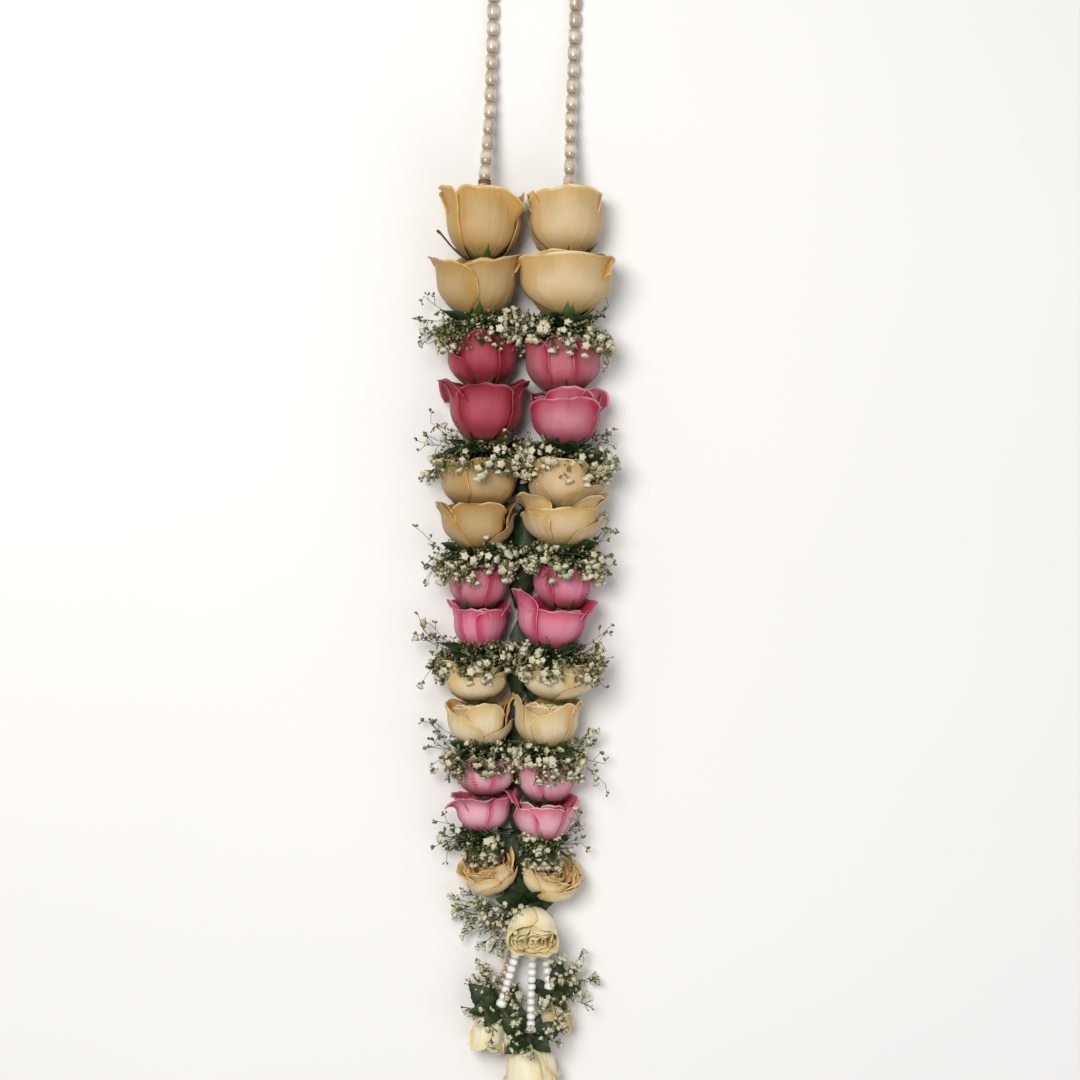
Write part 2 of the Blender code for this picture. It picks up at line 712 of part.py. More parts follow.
def build_neck_string(left, right, parts):
    """The loop of pearls that joins the two top roses."""
    sides = []
    for strand, drift in ((left, LEFT_NECK_DRIFT), (right, RIGHT_NECK_DRIFT)):
        rose = strand.roses[0]
        exit_y = rose.base * MM + rose.heart * rose.height + FIT_GAP
        height = strand.centre(0)
        stops = [Vector((rose.x * MM, exit_y, height))]
        for y, shift in zip(NECK_PLACES, drift):
            stops.append(Vector((rose.x * MM + shift, y, neck_height(y, height))))
        sides.append(stops)
    a, b = sides[0][-1], sides[1][-1]
    middle, half = (a + b) / 2, (b.x - a.x) / 2
    arc = [middle + Vector((-math.cos(t) * half, math.sin(t) * half, 0))
           for t in (math.pi * k / NECK_ARC_STEPS for k in range(1, NECK_ARC_STEPS))]
    path = smooth_path(sides[0] + arc + sides[1][::-1], 6)
    places = evenly_spaced(path, PEARL_PITCH)
    points, widths = [], []
    bare = THREAD_RADIUS / PEARL_RADIUS
    for index, (p, q) in enumerate(zip(places, places[1:])):
        if index == 0 or index == len(places) - 2:
            points += [p, p.lerp(q, 0.9)]
            widths += [bare, bare]
            continue
        for share, width in ((0.0, PEARL_WAIST), (0.5, 1.0)):
            points.append(p.lerp(q, share))
            widths.append(width)
    points.append(places[-1])
    widths.append(bare)
    obj = tube("neck_pearls", points, PEARL_RADIUS, parts, widths)
    obj.data.materials.append(principled(*PEARL))


def build_tassel_strings(parts):
    """Four strings of small beads that hang from the knot."""
    for name, top, first, last in TASSEL_STRINGS:
        start = Vector((top[0] * MM, KNOT_CENTRE.y - KNOT_LENGTH / 2 - 2 * FIT_GAP, top[1] * MM))
        first, last = Vector(first) * MM, Vector(last) * MM
        path = smooth_path([start, first, first.lerp(last, 0.5), last], 4)
        places = evenly_spaced(path, BEAD_PITCH)
        bare = THREAD_RADIUS / BEAD_RADIUS
        points, widths = [places[0], places[1]], [bare, bare]
        for p, q in zip(places[1:], places[2:]):
            for share, width in ((0.1, BEAD_WAIST), (0.5, 1.0)):
                points.append(p.lerp(q, share))
                widths.append(width)
        points.append(places[-1])
        widths.append(BEAD_WAIST)
        obj = tube(name, points, BEAD_RADIUS, parts, widths)
        obj.data.materials.append(principled(*BEAD))


def build_knot(parts):
    """The wrapped knot that both threads and all tassel strings are tied into."""
    half = KNOT_LENGTH / 2
    profile = [(0.0, half), (KNOT_RADIUS * KNOT_SHOULDER, half), (KNOT_RADIUS, half * KNOT_BARREL),
               (KNOT_RADIUS, -half * KNOT_BARREL), (KNOT_RADIUS * KNOT_SHOULDER, -half), (0.0, -half)]
    obj = turned("binding_knot", profile, KNOT_SIDES, parts)
    obj.rotation_euler = (-math.pi / 2, 0, 0)
    obj.location = KNOT_CENTRE
    obj.data.materials.append(principled(*THREAD))


def build_tuft(tuft, parts, repeats):
    """A hub with its leaves and with stalks of baby's breath that end at the given places."""
    centre = Vector(tuft.centre) * MM
    axis = Vector(tuft.axis)
    obj = hub(tuft.name, centre, axis, tuft.radius * MM, tuft.thickness * MM, parts)
    for along, length, width in tuft.leaves:
        along = Vector(along).normalized()
        face = Vector((0, 0, 1)) if abs(along.z) < 0.8 else Vector((0, 1, 0))
        out = (along - axis * along.dot(axis)).normalized()
        root = centre + out * (tuft.radius - 1.2) * MM
        leaf(root, along, face, length * MM, width * MM, 4, 0.16, repeats)
    for place in tuft.sprigs:
        tip = Vector(place) * MM
        stalk(centre + (tip - centre).normalized() * MM, tip, repeats)
    return finish_greens(obj, repeats)


def trim_at_surface(parts, cutters):
    """Cuts a small flat spot on whatever would press into the surface."""
    builder = bmesh.new()
    bmesh.ops.create_cube(builder, size=1.0)
    mesh = bpy.data.meshes.new("surface")
    builder.to_mesh(mesh)
    builder.free()
    block = new_object("surface", mesh, cutters)
    block.scale = (2.0, 2.0, 0.1)
    block.location = (0, 0, -0.05)
    bpy.context.view_layer.update()
    for obj in list(parts.objects):
        if obj.type == "MESH" and lowest(obj) < 0:
            cut(obj, block)
    as_cutter(block)


def main():
    """Builds the whole garland."""
    for obj in list(bpy.data.objects):
        bpy.data.objects.remove(obj)
    parts = collection("rose_garland")
    repeats = collection("repeats")
    cutters = collection("cutters")
    leaning = {rose.name: lay_leaning_rose(rose, parts, repeats) for rose in LEANING_ROSES}
    knot_top = KNOT_CENTRE.y + KNOT_LENGTH / 2 + 2 * FIT_GAP
    strands = []
    for side, roses, x in (("left", LEFT_ROSES, -THREAD_ENTRY), ("right", RIGHT_ROSES, THREAD_ENTRY)):
        entry = Vector((KNOT_CENTRE.x + x, knot_top, KNOT_CENTRE.z))
        strands.append(build_strand(side, roses, leaning[f"{side}_rose_13"], entry, parts, repeats,
                                    cutters))
    build_neck_string(*strands, parts)
    build_knot(parts)
    build_tassel_strings(parts)
    for tuft in TUFTS:
        build_tuft(tuft, parts, repeats)
    trim_at_surface(parts, cutters)
    for obj in parts.objects:
        if obj.type == "MESH":
            obj.data.shade_smooth()
            obj.data.set_sharp_from_angle(angle=math.radians(40))


main()
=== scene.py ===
"""The looks of the rose garland: petals, baby's breath, leaves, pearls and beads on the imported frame."""

import logging
import math
import random
from dataclasses import dataclass, field, replace
from enum import Enum
from typing import Any, Callable, Iterable, Sequence

import bmesh
import bpy
import numpy as np
from mathutils import Euler, Matrix, Vector


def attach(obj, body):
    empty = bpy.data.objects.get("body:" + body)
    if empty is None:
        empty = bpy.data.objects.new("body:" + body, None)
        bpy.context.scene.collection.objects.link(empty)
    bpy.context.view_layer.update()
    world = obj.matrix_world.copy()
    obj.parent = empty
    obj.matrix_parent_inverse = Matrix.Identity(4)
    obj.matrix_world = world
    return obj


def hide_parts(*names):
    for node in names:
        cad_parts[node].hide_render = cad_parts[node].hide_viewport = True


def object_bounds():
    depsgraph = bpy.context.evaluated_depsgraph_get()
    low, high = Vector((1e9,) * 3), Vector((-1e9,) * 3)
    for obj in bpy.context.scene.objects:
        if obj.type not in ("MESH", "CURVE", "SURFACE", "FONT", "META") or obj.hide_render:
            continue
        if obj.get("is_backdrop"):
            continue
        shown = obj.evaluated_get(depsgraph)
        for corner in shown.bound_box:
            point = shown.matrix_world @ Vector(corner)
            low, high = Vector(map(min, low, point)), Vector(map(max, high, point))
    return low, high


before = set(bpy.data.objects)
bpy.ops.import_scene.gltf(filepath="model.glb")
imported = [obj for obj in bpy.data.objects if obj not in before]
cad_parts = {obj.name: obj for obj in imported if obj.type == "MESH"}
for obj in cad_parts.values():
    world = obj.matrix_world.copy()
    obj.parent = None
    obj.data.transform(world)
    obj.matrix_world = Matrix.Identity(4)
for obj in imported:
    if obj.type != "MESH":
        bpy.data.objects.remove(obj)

LOG = logging.getLogger("rose_garland")
CAD_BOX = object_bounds()
BODY = "root"
MM = 0.001

# The photograph's frame, as real lengths on the plane of the roses' middles
FRAME_CENTRE = (15.5 * MM, 65.1 * MM)
FRAME_WIDTH = 696.6 * MM
ROSE_PLANE = 28 * MM
CAMERA_DISTANCE = 1.5
SENSOR = 36.0

# The cup that every rose's petals follow
BELLY_HEIGHT = 0.55
BOWL_ROUNDNESS = 0.64
NECK_SHARE = 0.13
NEST_GAP = 1.2 * MM

Rgb = tuple[float, float, float]
Point = tuple[float, float, float]


# Shader sums and nodes


class Sum:
    """A number socket that takes part in Python sums, and adds the Math nodes for them."""

    def __init__(self, paint: "Paint", socket: Any) -> None:
        """Keeps the material and the socket."""
        self.paint, self.socket = paint, socket

    def _with(self, operation: str, first: Any, second: Any = None) -> "Sum":
        """One Math node on two values."""
        inputs = {0: first} if second is None else {0: first, 1: second}
        return Sum(self.paint, self.paint.node("ShaderNodeMath", {"operation": operation}, inputs))

    def __add__(self, other: Any) -> "Sum":
        """This value plus another."""
        return self._with("ADD", self, other)

    def __sub__(self, other: Any) -> "Sum":
        """This value less another."""
        return self._with("SUBTRACT", self, other)

    def __rsub__(self, other: Any) -> "Sum":
        """Another value less this one."""
        return self._with("SUBTRACT", other, self)

    def __mul__(self, other: Any) -> "Sum":
        """This value times another."""
        return self._with("MULTIPLY", self, other)

    def __pow__(self, other: Any) -> "Sum":
        """This value to a power."""
        return self._with("POWER", self, other)

    __radd__ = __add__
    __rmul__ = __mul__

    def sine(self) -> "Sum":
        """The sine of this value."""
        return self._with("SINE", self)

    def size(self) -> "Sum":
        """This value without its sign."""
        return self._with("ABSOLUTE", self)

    def step(self, low: float, high: float) -> "Sum":
        """A smooth step from 0 at one value to 1 at another."""
        settings = {"interpolation_type": "SMOOTHSTEP", "clamp": True}
        found = self.paint.node("ShaderNodeMapRange", settings, {0: self, 1: low, 2: high, 3: 0.0, 4: 1.0})
        return Sum(self.paint, found)


class Paint:
    """A material that is put together node by node on one Principled shader."""

    def __init__(self, name: str) -> None:
        """Makes the empty material.

        Args:
            name: the material's name.
        """
        self.material = bpy.data.materials.new(name)
        self.material.use_nodes = True
        self.tree = self.material.node_tree
        self.shader = self.tree.nodes["Principled BSDF"]

    def node(self, kind: str, settings: dict[str, Any], inputs: dict[Any, Any], output: Any = 0) -> Any:
        """Adds one node.

        Args:
            kind: the node's type.
            settings: its own settings, which are set first.
            inputs: values or links by socket name or number.
            output: which of its outputs is wanted.

        Returns:
            The output socket.
        """
        made = self.tree.nodes.new(kind)
        for name, value in settings.items():
            setattr(made, name, value)
        for name, value in inputs.items():
            self.feed(made.inputs[name], value)
        return made.outputs[output]

    def feed(self, socket: Any, value: Any) -> None:
        """Links a socket, or sets it to a plain value."""
        value = value.socket if isinstance(value, Sum) else value
        if isinstance(value, bpy.types.NodeSocket):
            self.tree.links.new(value, socket)
        elif isinstance(value, tuple) and len(value) == 3 and socket.type == "RGBA":
            socket.default_value = (*value, 1.0)
        else:
            socket.default_value = value

    def reading(self, name: str) -> Sum:
        """A number that the mesh carries at its points."""
        return Sum(self, self.node("ShaderNodeAttribute", {"attribute_name": name}, {}, "Fac"))

    def place(self, scale: Point = (1.0, 1.0, 1.0)) -> Any:
        """Object coordinates, stretched by a scale."""
        here = self.node("ShaderNodeTexCoord", {}, {}, "Object")
        return self.node("ShaderNodeMapping", {}, {"Vector": here, "Scale": scale})

    def flat_place(self, scale: Point) -> Any:
        """The piece's own UV coordinates, stretched by a scale."""
        here = self.node("ShaderNodeUVMap", {"uv_map": "petal"}, {}, "UV")
        return self.node("ShaderNodeMapping", {}, {"Vector": here, "Scale": scale})

    def noise(self, vector: Any, scale: float, detail: float = 3.0, roughness: float = 0.5) -> Sum:
        """Noise at a vector."""
        inputs = {"Vector": vector, "Scale": scale, "Detail": detail, "Roughness": roughness}
        return Sum(self, self.node("ShaderNodeTexNoise", {}, inputs, "Fac"))

    def blend(self, share: Any, first: Any, second: Any, how: str = "MIX") -> Any:
        """A mix of two colours."""
        settings = {"data_type": "RGBA", "blend_type": how, "clamp_factor": True}
        return self.node("ShaderNodeMix", settings, {0: share, 6: first, 7: second}, 2)

    def bump(self, height: Any, strength: float, distance: float) -> None:
        """Raises the surface by a height."""
        inputs = {"Height": height, "Strength": strength, "Distance": distance}
        self.set(Normal=self.node("ShaderNodeBump", {}, inputs, "Normal"))

    def set(self, **sockets: Any) -> "Paint":
        """Sets the shader's sockets, named with underscores for spaces."""
        for name, value in sockets.items():
            self.feed(self.shader.inputs[name.replace("_", " ")], value)
        return self


@dataclass(frozen=True)
class PetalFinish:
    """The velvety finish of one colour of rose petal."""

    name: str
    slot: str
    # light and lip: the paler colours. light gives random paler tone and a painted highlight in each petal's middle;
    # lip gives a painted highlight along its rolled lip. edge and throat: partly the petal's own colour, partly
    # painted shade.
    body: Rgb
    light: Rgb
    edge: Rgb
    throat: Rgb
    foot: Rgb
    lip: Rgb
    vein_strength: float
    edge_strength: float

    def material(self) -> bpy.types.Material:
        """Builds the material from how far up, across and inside the flower a point is, with a painted highlight in
        each petal's middle and along its lip, and painted shade at its rims and in the throat.
        """
        paint = Paint(self.name)
        along, across = paint.reading("along"), paint.reading("across")
        inside, tint, whorl = paint.reading("inside"), paint.reading("tint"), paint.reading("whorl")
        cloud = paint.noise(paint.place(), 90.0, 3.0)
        streak = paint.noise(paint.flat_place((26.0, 1.6, 1.0)), 3.0, 4.0, 0.6)
        fold = paint.noise(paint.flat_place((7.0, 1.1, 1.0)), 1.3, 2.0)
        # Painted highlight: the middle of each petal is painted towards the light colour, beside the random pale
        # tone of cloud and tint.
        middle = (1.0 - across.size().step(0.3, 0.95)) * (1.0 - along.step(0.5, 0.95))
        pale = middle * 0.6 + cloud.step(0.4, 0.8) * 0.35 + tint * 0.25
        colour = paint.blend(pale * along.step(0.1, 0.45), self.body, self.light)
        colour = paint.blend(streak.step(0.5, 0.85) * self.vein_strength, colour, self.edge)
        foot = (1.0 - along.step(0.04, 0.3)) * (0.45 + streak * 0.5)
        colour = paint.blend(foot, colour, self.foot)
        # Rims: partly the petal's own darker edge colour, partly painted shade along the edges and where petals
        # overlap.
        rim = along.step(0.68, 1.0) * 0.6 + across.size().step(0.5, 1.0) * 0.9 * along.step(0.1, 0.5)
        colour = paint.blend(rim * (cloud * 0.8 + 0.5) * self.edge_strength, colour, self.edge)
        # Painted highlight: a pale line along the rolled lip at the top and along the side edges.
        lip = along.step(0.945, 0.985) + across.size().step(0.955, 1.0) * along.step(0.3, 0.6)
        colour = paint.blend(lip * cloud.step(0.25, 0.6) * 0.8, colour, self.lip)
        # Throat: partly the deeper colour of the inner petals, partly painted shade inside the cup and towards the
        # heart.
        depth = inside * (0.92 - along.step(0.72, 1.0) * 0.45) + whorl.step(0.15, 0.9) * 0.45
        colour = paint.blend(depth, colour, self.throat)
        paint.set(Base_Color=colour, Roughness=streak * 0.2 + 0.42, Sheen_Weight=0.07,
                  Sheen_Roughness=0.4, Subsurface_Weight=0.12, Subsurface_Scale=0.004,
                  Subsurface_Radius=(1.0, 0.5, 0.25), Specular_IOR_Level=0.28)
        paint.bump(fold + streak * 0.3 + cloud * 0.2, 0.5, 0.0018)
        return paint.material


@dataclass(frozen=True)
class GreenFinish:
    """The finish of leaves, stems or sepals, with veins where the piece has them."""

    name: str
    dark: Rgb
    light: Rgb
    vein: Rgb
    roughness: float
    coat: float

    def material(self) -> bpy.types.Material:
        """Builds the material from the leaf's own coordinates and clouds of colour."""
        paint = Paint(self.name)
        along, across = paint.reading("along"), paint.reading("across").size()
        cloud = paint.noise(paint.place(), 140.0, 4.0)
        colour = paint.blend(cloud.step(0.3, 0.75), self.dark, self.light)
        ribs = ((along * 1.0 - across * 0.34) * 52.0).sine().step(0.86, 1.0)
        midrib = 1.0 - across.step(0.0, 0.07)
        veins = ribs * 0.45 * (1.0 - across.step(0.8, 1.0)) + midrib
        colour = paint.blend(veins * 0.75, colour, self.vein)
        paint.set(Base_Color=colour, Roughness=cloud * 0.2 + (self.roughness - 0.1),
                  Coat_Weight=self.coat, Coat_Roughness=0.25)
        paint.bump(veins * -0.7 + cloud * 0.5, 0.5, 0.0008)
        return paint.material


@dataclass(frozen=True)
class FloretFinish:
    """The papery finish of baby's breath, from its green foot to its pale top."""

    name: str
    foot: Rgb
    top: Rgb
    old: Rgb

    def material(self) -> bpy.types.Material:
        """Builds the material from how far up each floret a point is, with some older ones."""
        paint = Paint(self.name)
        cloud = paint.noise(paint.place(), 60.0, 2.0)
        grain = paint.noise(paint.place(), 900.0, 3.0)
        colour = paint.blend(paint.reading("along").step(0.08, 0.5), self.foot, self.top)
        colour = paint.blend(cloud.step(0.5, 0.72) * 0.65 + grain.step(0.6, 0.8) * 0.3, colour, self.old)
        paint.set(Base_Color=colour, Roughness=grain * 0.2 + 0.6, Subsurface_Weight=0.15,
                  Subsurface_Scale=0.002)
        paint.bump(grain, 0.4, 0.0004)
        return paint.material


@dataclass(frozen=True)
class BeadFinish:
    """The lustre of a pearl or a glossy bead."""

    name: str
    shade: Rgb
    glow: Rgb
    roughness: float

    def material(self) -> bpy.types.Material:
        """Builds the material: a milky body with slow swirls under a clear coat, with painted shade towards both
        ends of each bead and a painted highlight in its middle.
        """
        paint = Paint(self.name)
        swirl = paint.noise(paint.place(), 110.0, 2.0)
        fleck = paint.noise(paint.place((1.0, 1.0, 1.0)), 700.0, 2.0)
        # Painted shade towards both ends of each bead, leaving a painted highlight in its middle.
        ends = (paint.reading("along") - 0.5).size().step(0.06, 0.34)
        colour = paint.blend(swirl.step(0.2, 0.6) * (1.0 - ends * 0.85), self.shade, self.glow)
        paint.set(Base_Color=colour, Roughness=fleck * 0.12 + self.roughness, Coat_Weight=0.7,
                  Coat_Roughness=0.08, Sheen_Weight=0.15, Subsurface_Weight=0.1, Subsurface_Scale=0.002)
        paint.bump(swirl * 0.5 + fleck * 0.3, 0.12, 0.0005)
        return paint.material


@dataclass(frozen=True)
class ThreadFinish:
    """Waxed twisted cotton."""

    name: str
    dark: Rgb
    light: Rgb

    def material(self) -> bpy.types.Material:
        """Builds the material from slanting bands of ply and fine fibre."""
        paint = Paint(self.name)
        fibre = paint.noise(paint.place((1.0, 3.0, 1.0)), 900.0, 4.0)
        bands = Sum(paint, paint.node(
            "ShaderNodeTexWave", {"wave_type": "BANDS", "bands_direction": "DIAGONAL"},
            {"Vector": paint.place(), "Scale": 420.0, "Distortion": 1.5, "Detail": 2.0}, "Fac"))
        colour = paint.blend(bands * 0.6 + fibre * 0.4, self.dark, self.light)
        paint.set(Base_Color=colour, Roughness=fibre * 0.2 + 0.6)
        paint.bump(bands * 0.7 + fibre * 0.3, 0.7, 0.0004)
        return paint.material


# Each row of roses has its own copy of a finish, paler from the neck towards the tassel: partly the roses' own tone,
# partly painted light, with the lower rows painted as if more brightly lit.
CREAM = PetalFinish("cream_petals", "rose_cream", (0.42, 0.25, 0.08), (0.50, 0.34, 0.165),
                    (0.51, 0.28, 0.065), (0.46, 0.17, 0.018), (0.25, 0.17, 0.045), (0.78, 0.60, 0.29), 0.35, 0.7)
DEEP_CREAM = replace(CREAM, name="deep_cream_petals", body=(0.36, 0.215, 0.068), light=(0.43, 0.30, 0.145),
                     edge=(0.42, 0.215, 0.042), lip=(0.74, 0.56, 0.26))
MILD_CREAM = replace(CREAM, name="mild_cream_petals", body=(0.50, 0.33, 0.14), light=(0.61, 0.45, 0.28),
                     edge=(0.58, 0.35, 0.10), throat=(0.54, 0.23, 0.035), lip=(0.84, 0.68, 0.38))
SOFT_CREAM = replace(CREAM, name="soft_cream_petals", body=(0.58, 0.42, 0.20), light=(0.70, 0.58, 0.38),
                     edge=(0.62, 0.39, 0.13), throat=(0.68, 0.34, 0.07), lip=(0.86, 0.74, 0.47))
PEACH = replace(CREAM, name="peach_petals", body=(0.70, 0.52, 0.26), light=(0.80, 0.66, 0.43),
                edge=(0.70, 0.40, 0.11), throat=(0.80, 0.48, 0.17), foot=(0.50, 0.42, 0.16),
                lip=(0.86, 0.70, 0.40))
PINK = PetalFinish("pink_petals", "rose_pink", (0.25, 0.018, 0.033), (0.37, 0.055, 0.085),
                   (0.21, 0.003, 0.014), (0.25, 0.005, 0.017), (0.22, 0.05, 0.045), (0.50, 0.12, 0.16), 0.4, 1.0)
WARM_PINK = replace(PINK, name="warm_pink_petals", body=(0.36, 0.058, 0.085), light=(0.47, 0.14, 0.175),
                    edge=(0.30, 0.012, 0.038), throat=(0.32, 0.008, 0.03), lip=(0.62, 0.24, 0.29))
ROSY = replace(PINK, name="rosy_petals", body=(0.41, 0.085, 0.13), light=(0.53, 0.20, 0.245),
               edge=(0.36, 0.014, 0.05), throat=(0.36, 0.008, 0.035), lip=(0.68, 0.32, 0.38))
BRIGHT_PINK = replace(PINK, name="bright_pink_petals", body=(0.54, 0.095, 0.165), light=(0.66, 0.24, 0.32),
                      edge=(0.46, 0.016, 0.07), throat=(0.46, 0.010, 0.05), lip=(0.78, 0.38, 0.46))
SOFT_PINK = replace(PINK, name="soft_pink_petals", body=(0.61, 0.205, 0.275), light=(0.75, 0.43, 0.48),
                    edge=(0.54, 0.05, 0.12), throat=(0.48, 0.02, 0.07), lip=(0.84, 0.55, 0.58))
PALE = PetalFinish("pale_petals", "rose_pale", (0.80, 0.68, 0.40), (0.90, 0.82, 0.60),
                   (0.76, 0.57, 0.26), (0.78, 0.60, 0.28), (0.56, 0.52, 0.24), (0.90, 0.80, 0.52), 0.2, 0.6)
SEPAL = GreenFinish("sepals", (0.035, 0.075, 0.014), (0.10, 0.17, 0.035), (0.14, 0.2, 0.06), 0.55, 0.0)
STEM = GreenFinish("fine_stems", (0.011, 0.020, 0.004), (0.042, 0.056, 0.012), (0.03, 0.045, 0.01), 0.65, 0.0)
LEAF = GreenFinish("rose_leaves", (0.005, 0.016, 0.002), (0.024, 0.050, 0.005), (0.05, 0.085, 0.012), 0.6, 0.02)
FLORET = FloretFinish("white_florets", (0.08, 0.095, 0.028), (0.60, 0.56, 0.39), (0.36, 0.31, 0.16))
BUD = FloretFinish("olive_buds", (0.02, 0.03, 0.008), (0.20, 0.19, 0.075), (0.08, 0.07, 0.022))
PEARL = BeadFinish("ivory_pearls", (0.33, 0.245, 0.16), (0.68, 0.60, 0.495), 0.2)
BEAD = BeadFinish("white_beads", (0.74, 0.72, 0.68), (0.92, 0.91, 0.88), 0.2)
# The back string's beads: a darker, tan copy of the white beads, painted shade for the string that lies in shadow
# behind the others.
SHADED_BEAD = BeadFinish("tan_beads", (0.36, 0.26, 0.17), (0.56, 0.45, 0.33), 0.3)
COTTON = ThreadFinish("waxed_cotton", (0.16, 0.09, 0.045), (0.42, 0.29, 0.17))
RED_COTTON = ThreadFinish("red_brown_cotton", (0.10, 0.02, 0.007), (0.34, 0.15, 0.06))


class Finishes:
    """Builds each finish's material once and hands it out."""

    def __init__(self) -> None:
        """Starts with no material."""
        self.made: dict[str, bpy.types.Material] = {}

    def __getitem__(self, finish: Any) -> bpy.types.Material:
        """The finish's one material."""
        if finish.name not in self.made:
            self.made[finish.name] = finish.material()
        return self.made[finish.name]


FINISHES = Finishes()


# Meshes and Geometry Nodes


class Shell:
    """Gathers points, faces and the numbers that materials read, and turns them into one mesh."""

    READINGS = ("along", "across", "inside", "tint", "whorl")

    def __init__(self) -> None:
        """Starts empty."""
        self.points: list[np.ndarray] = []
        self.faces: list[np.ndarray] = []
        self.readings: dict[str, list[np.ndarray]] = {name: [] for name in self.READINGS}
        self.count = 0

    def add(self, points: np.ndarray, faces: np.ndarray, **readings: Any) -> None:
        """Adds one closed surface.

        Args:
            points: its corners, one row each.
            faces: corner numbers of its quads, one row each; a triangle repeats its last corner.
            readings: a number or one number a corner for each named reading.
        """
        self.points.append(points)
        self.faces.append(faces + self.count)
        for name in self.READINGS:
            value = np.asarray(readings.get(name, 0.0), dtype=float)
            self.readings[name].append(np.broadcast_to(value, (len(points),)))
        self.count += len(points)

    def sheet(self, outer: np.ndarray, thickness: np.ndarray, along: np.ndarray, across: np.ndarray,
              tint: float, whorl: float) -> None:
        """Adds a sheet of rows and columns of points as a closed blade of a given thickness."""
        rows, cols = outer.shape[:2]
        normal = np.cross(np.gradient(outer, axis=1), np.gradient(outer, axis=0))
        normal /= np.maximum(np.linalg.norm(normal, axis=2, keepdims=True), 1e-12)
        inner = outer - normal * thickness[..., None]
        grid = np.arange(rows * cols).reshape(rows, cols)
        a, b, c, d = grid[:-1, :-1], grid[:-1, 1:], grid[1:, 1:], grid[1:, :-1]
        front = np.stack([a, b, c, d], axis=-1).reshape(-1, 4)
        back = np.stack([d, c, b, a], axis=-1).reshape(-1, 4) + rows * cols
        ring = np.concatenate([grid[0, :-1], grid[:-1, -1], grid[-1, :0:-1], grid[:0:-1, 0]])
        after = np.roll(ring, -1)
        band = np.stack([after, ring, ring + rows * cols, after + rows * cols], axis=-1)
        points = np.concatenate([outer.reshape(-1, 3), inner.reshape(-1, 3)])
        self.add(points, np.concatenate([front, back, band]), along=np.tile(along.ravel(), 2),
                 across=np.tile(across.ravel(), 2), inside=np.repeat([0.0, 1.0], rows * cols),
                 tint=tint, whorl=whorl)

    def lathe(self, profile: Sequence[tuple[float, float]], sides: int, **readings: Any) -> None:
        """Adds a solid turned about Z from (radius, height) points that start and end on the axis."""
        rings = profile[1:-1]
        turn = np.linspace(0, math.tau, sides, endpoint=False)
        points = [np.array([[0.0, 0.0, profile[0][1]]])]
        points += [np.stack([r * np.cos(turn), r * np.sin(turn), np.full(sides, z)], axis=-1)
                   for r, z in rings]
        points.append(np.array([[0.0, 0.0, profile[-1][1]]]))
        here = np.arange(sides)
        after = np.roll(here, -1)
        faces = [np.stack([np.zeros(sides, int), 1 + after, 1 + here, 1 + here], axis=-1)]
        for k in range(len(rings) - 1):
            low, high = 1 + k * sides, 1 + (k + 1) * sides
            faces.append(np.stack([low + here, low + after, high + after, high + here], axis=-1))
        low, top = 1 + (len(rings) - 1) * sides, 1 + len(rings) * sides
        faces.append(np.stack([low + here, low + after, np.full(sides, top), np.full(sides, top)], axis=-1))
        self.add(np.concatenate(points), np.concatenate(faces), **readings)

    def place(self, matrix: Matrix) -> "Shell":
        """Moves every point by a matrix."""
        turn = np.array(matrix.to_3x3())
        self.points = [points @ turn.T + np.array(matrix.translation) for points in self.points]
        return self

    def rest(self, height: float = 3 * MM) -> "Shell":
        """Presses what would go through the cloth gently flat on it."""
        for points in self.points:
            low = points[:, 2] < height
            points[low, 2] = height * np.exp((points[low, 2] - height) / height)
        return self

    def mesh(self, name: str) -> bpy.types.Mesh:
        """The gathered mesh, smooth, with its readings and a UV map."""
        mesh = bpy.data.meshes.new(name)
        faces = [tuple(dict.fromkeys(face)) for face in np.concatenate(self.faces).tolist()]
        mesh.from_pydata(np.concatenate(self.points).tolist(), [], faces)
        values = {key: np.concatenate(parts) for key, parts in self.readings.items()}
        for key, value in values.items():
            mesh.attributes.new(key, "FLOAT", "POINT").data.foreach_set("value", value)
        corners = np.empty(len(mesh.loops), int)
        mesh.loops.foreach_get("vertex_index", corners)
        flat = np.stack([values["across"][corners] * 0.5 + 0.5 + values["tint"][corners] * 7.0,
                         values["along"][corners]], axis=-1)
        mesh.uv_layers.new(name="petal").data.foreach_set("uv", flat.ravel())
        mesh.shade_smooth()
        return mesh


def new_object(name: str, mesh: Any) -> bpy.types.Object:
    """An object of a mesh or curve, linked to the scene."""
    made = bpy.data.objects.new(name, mesh)
    bpy.context.scene.collection.objects.link(made)
    return made


def finish_piece(piece: bpy.types.Object, nodes: Sequence[str] = ()) -> bpy.types.Object:
    """Puts a piece on the garland.

    Args:
        piece: the finished object.
        nodes: the CAD nodes that it stands for.

    Returns:
        The same object.
    """
    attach(piece, BODY)
    if nodes:
        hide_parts(*nodes)
    LOG.info("%s: %d faces", piece.name, len(piece.data.polygons))
    return piece


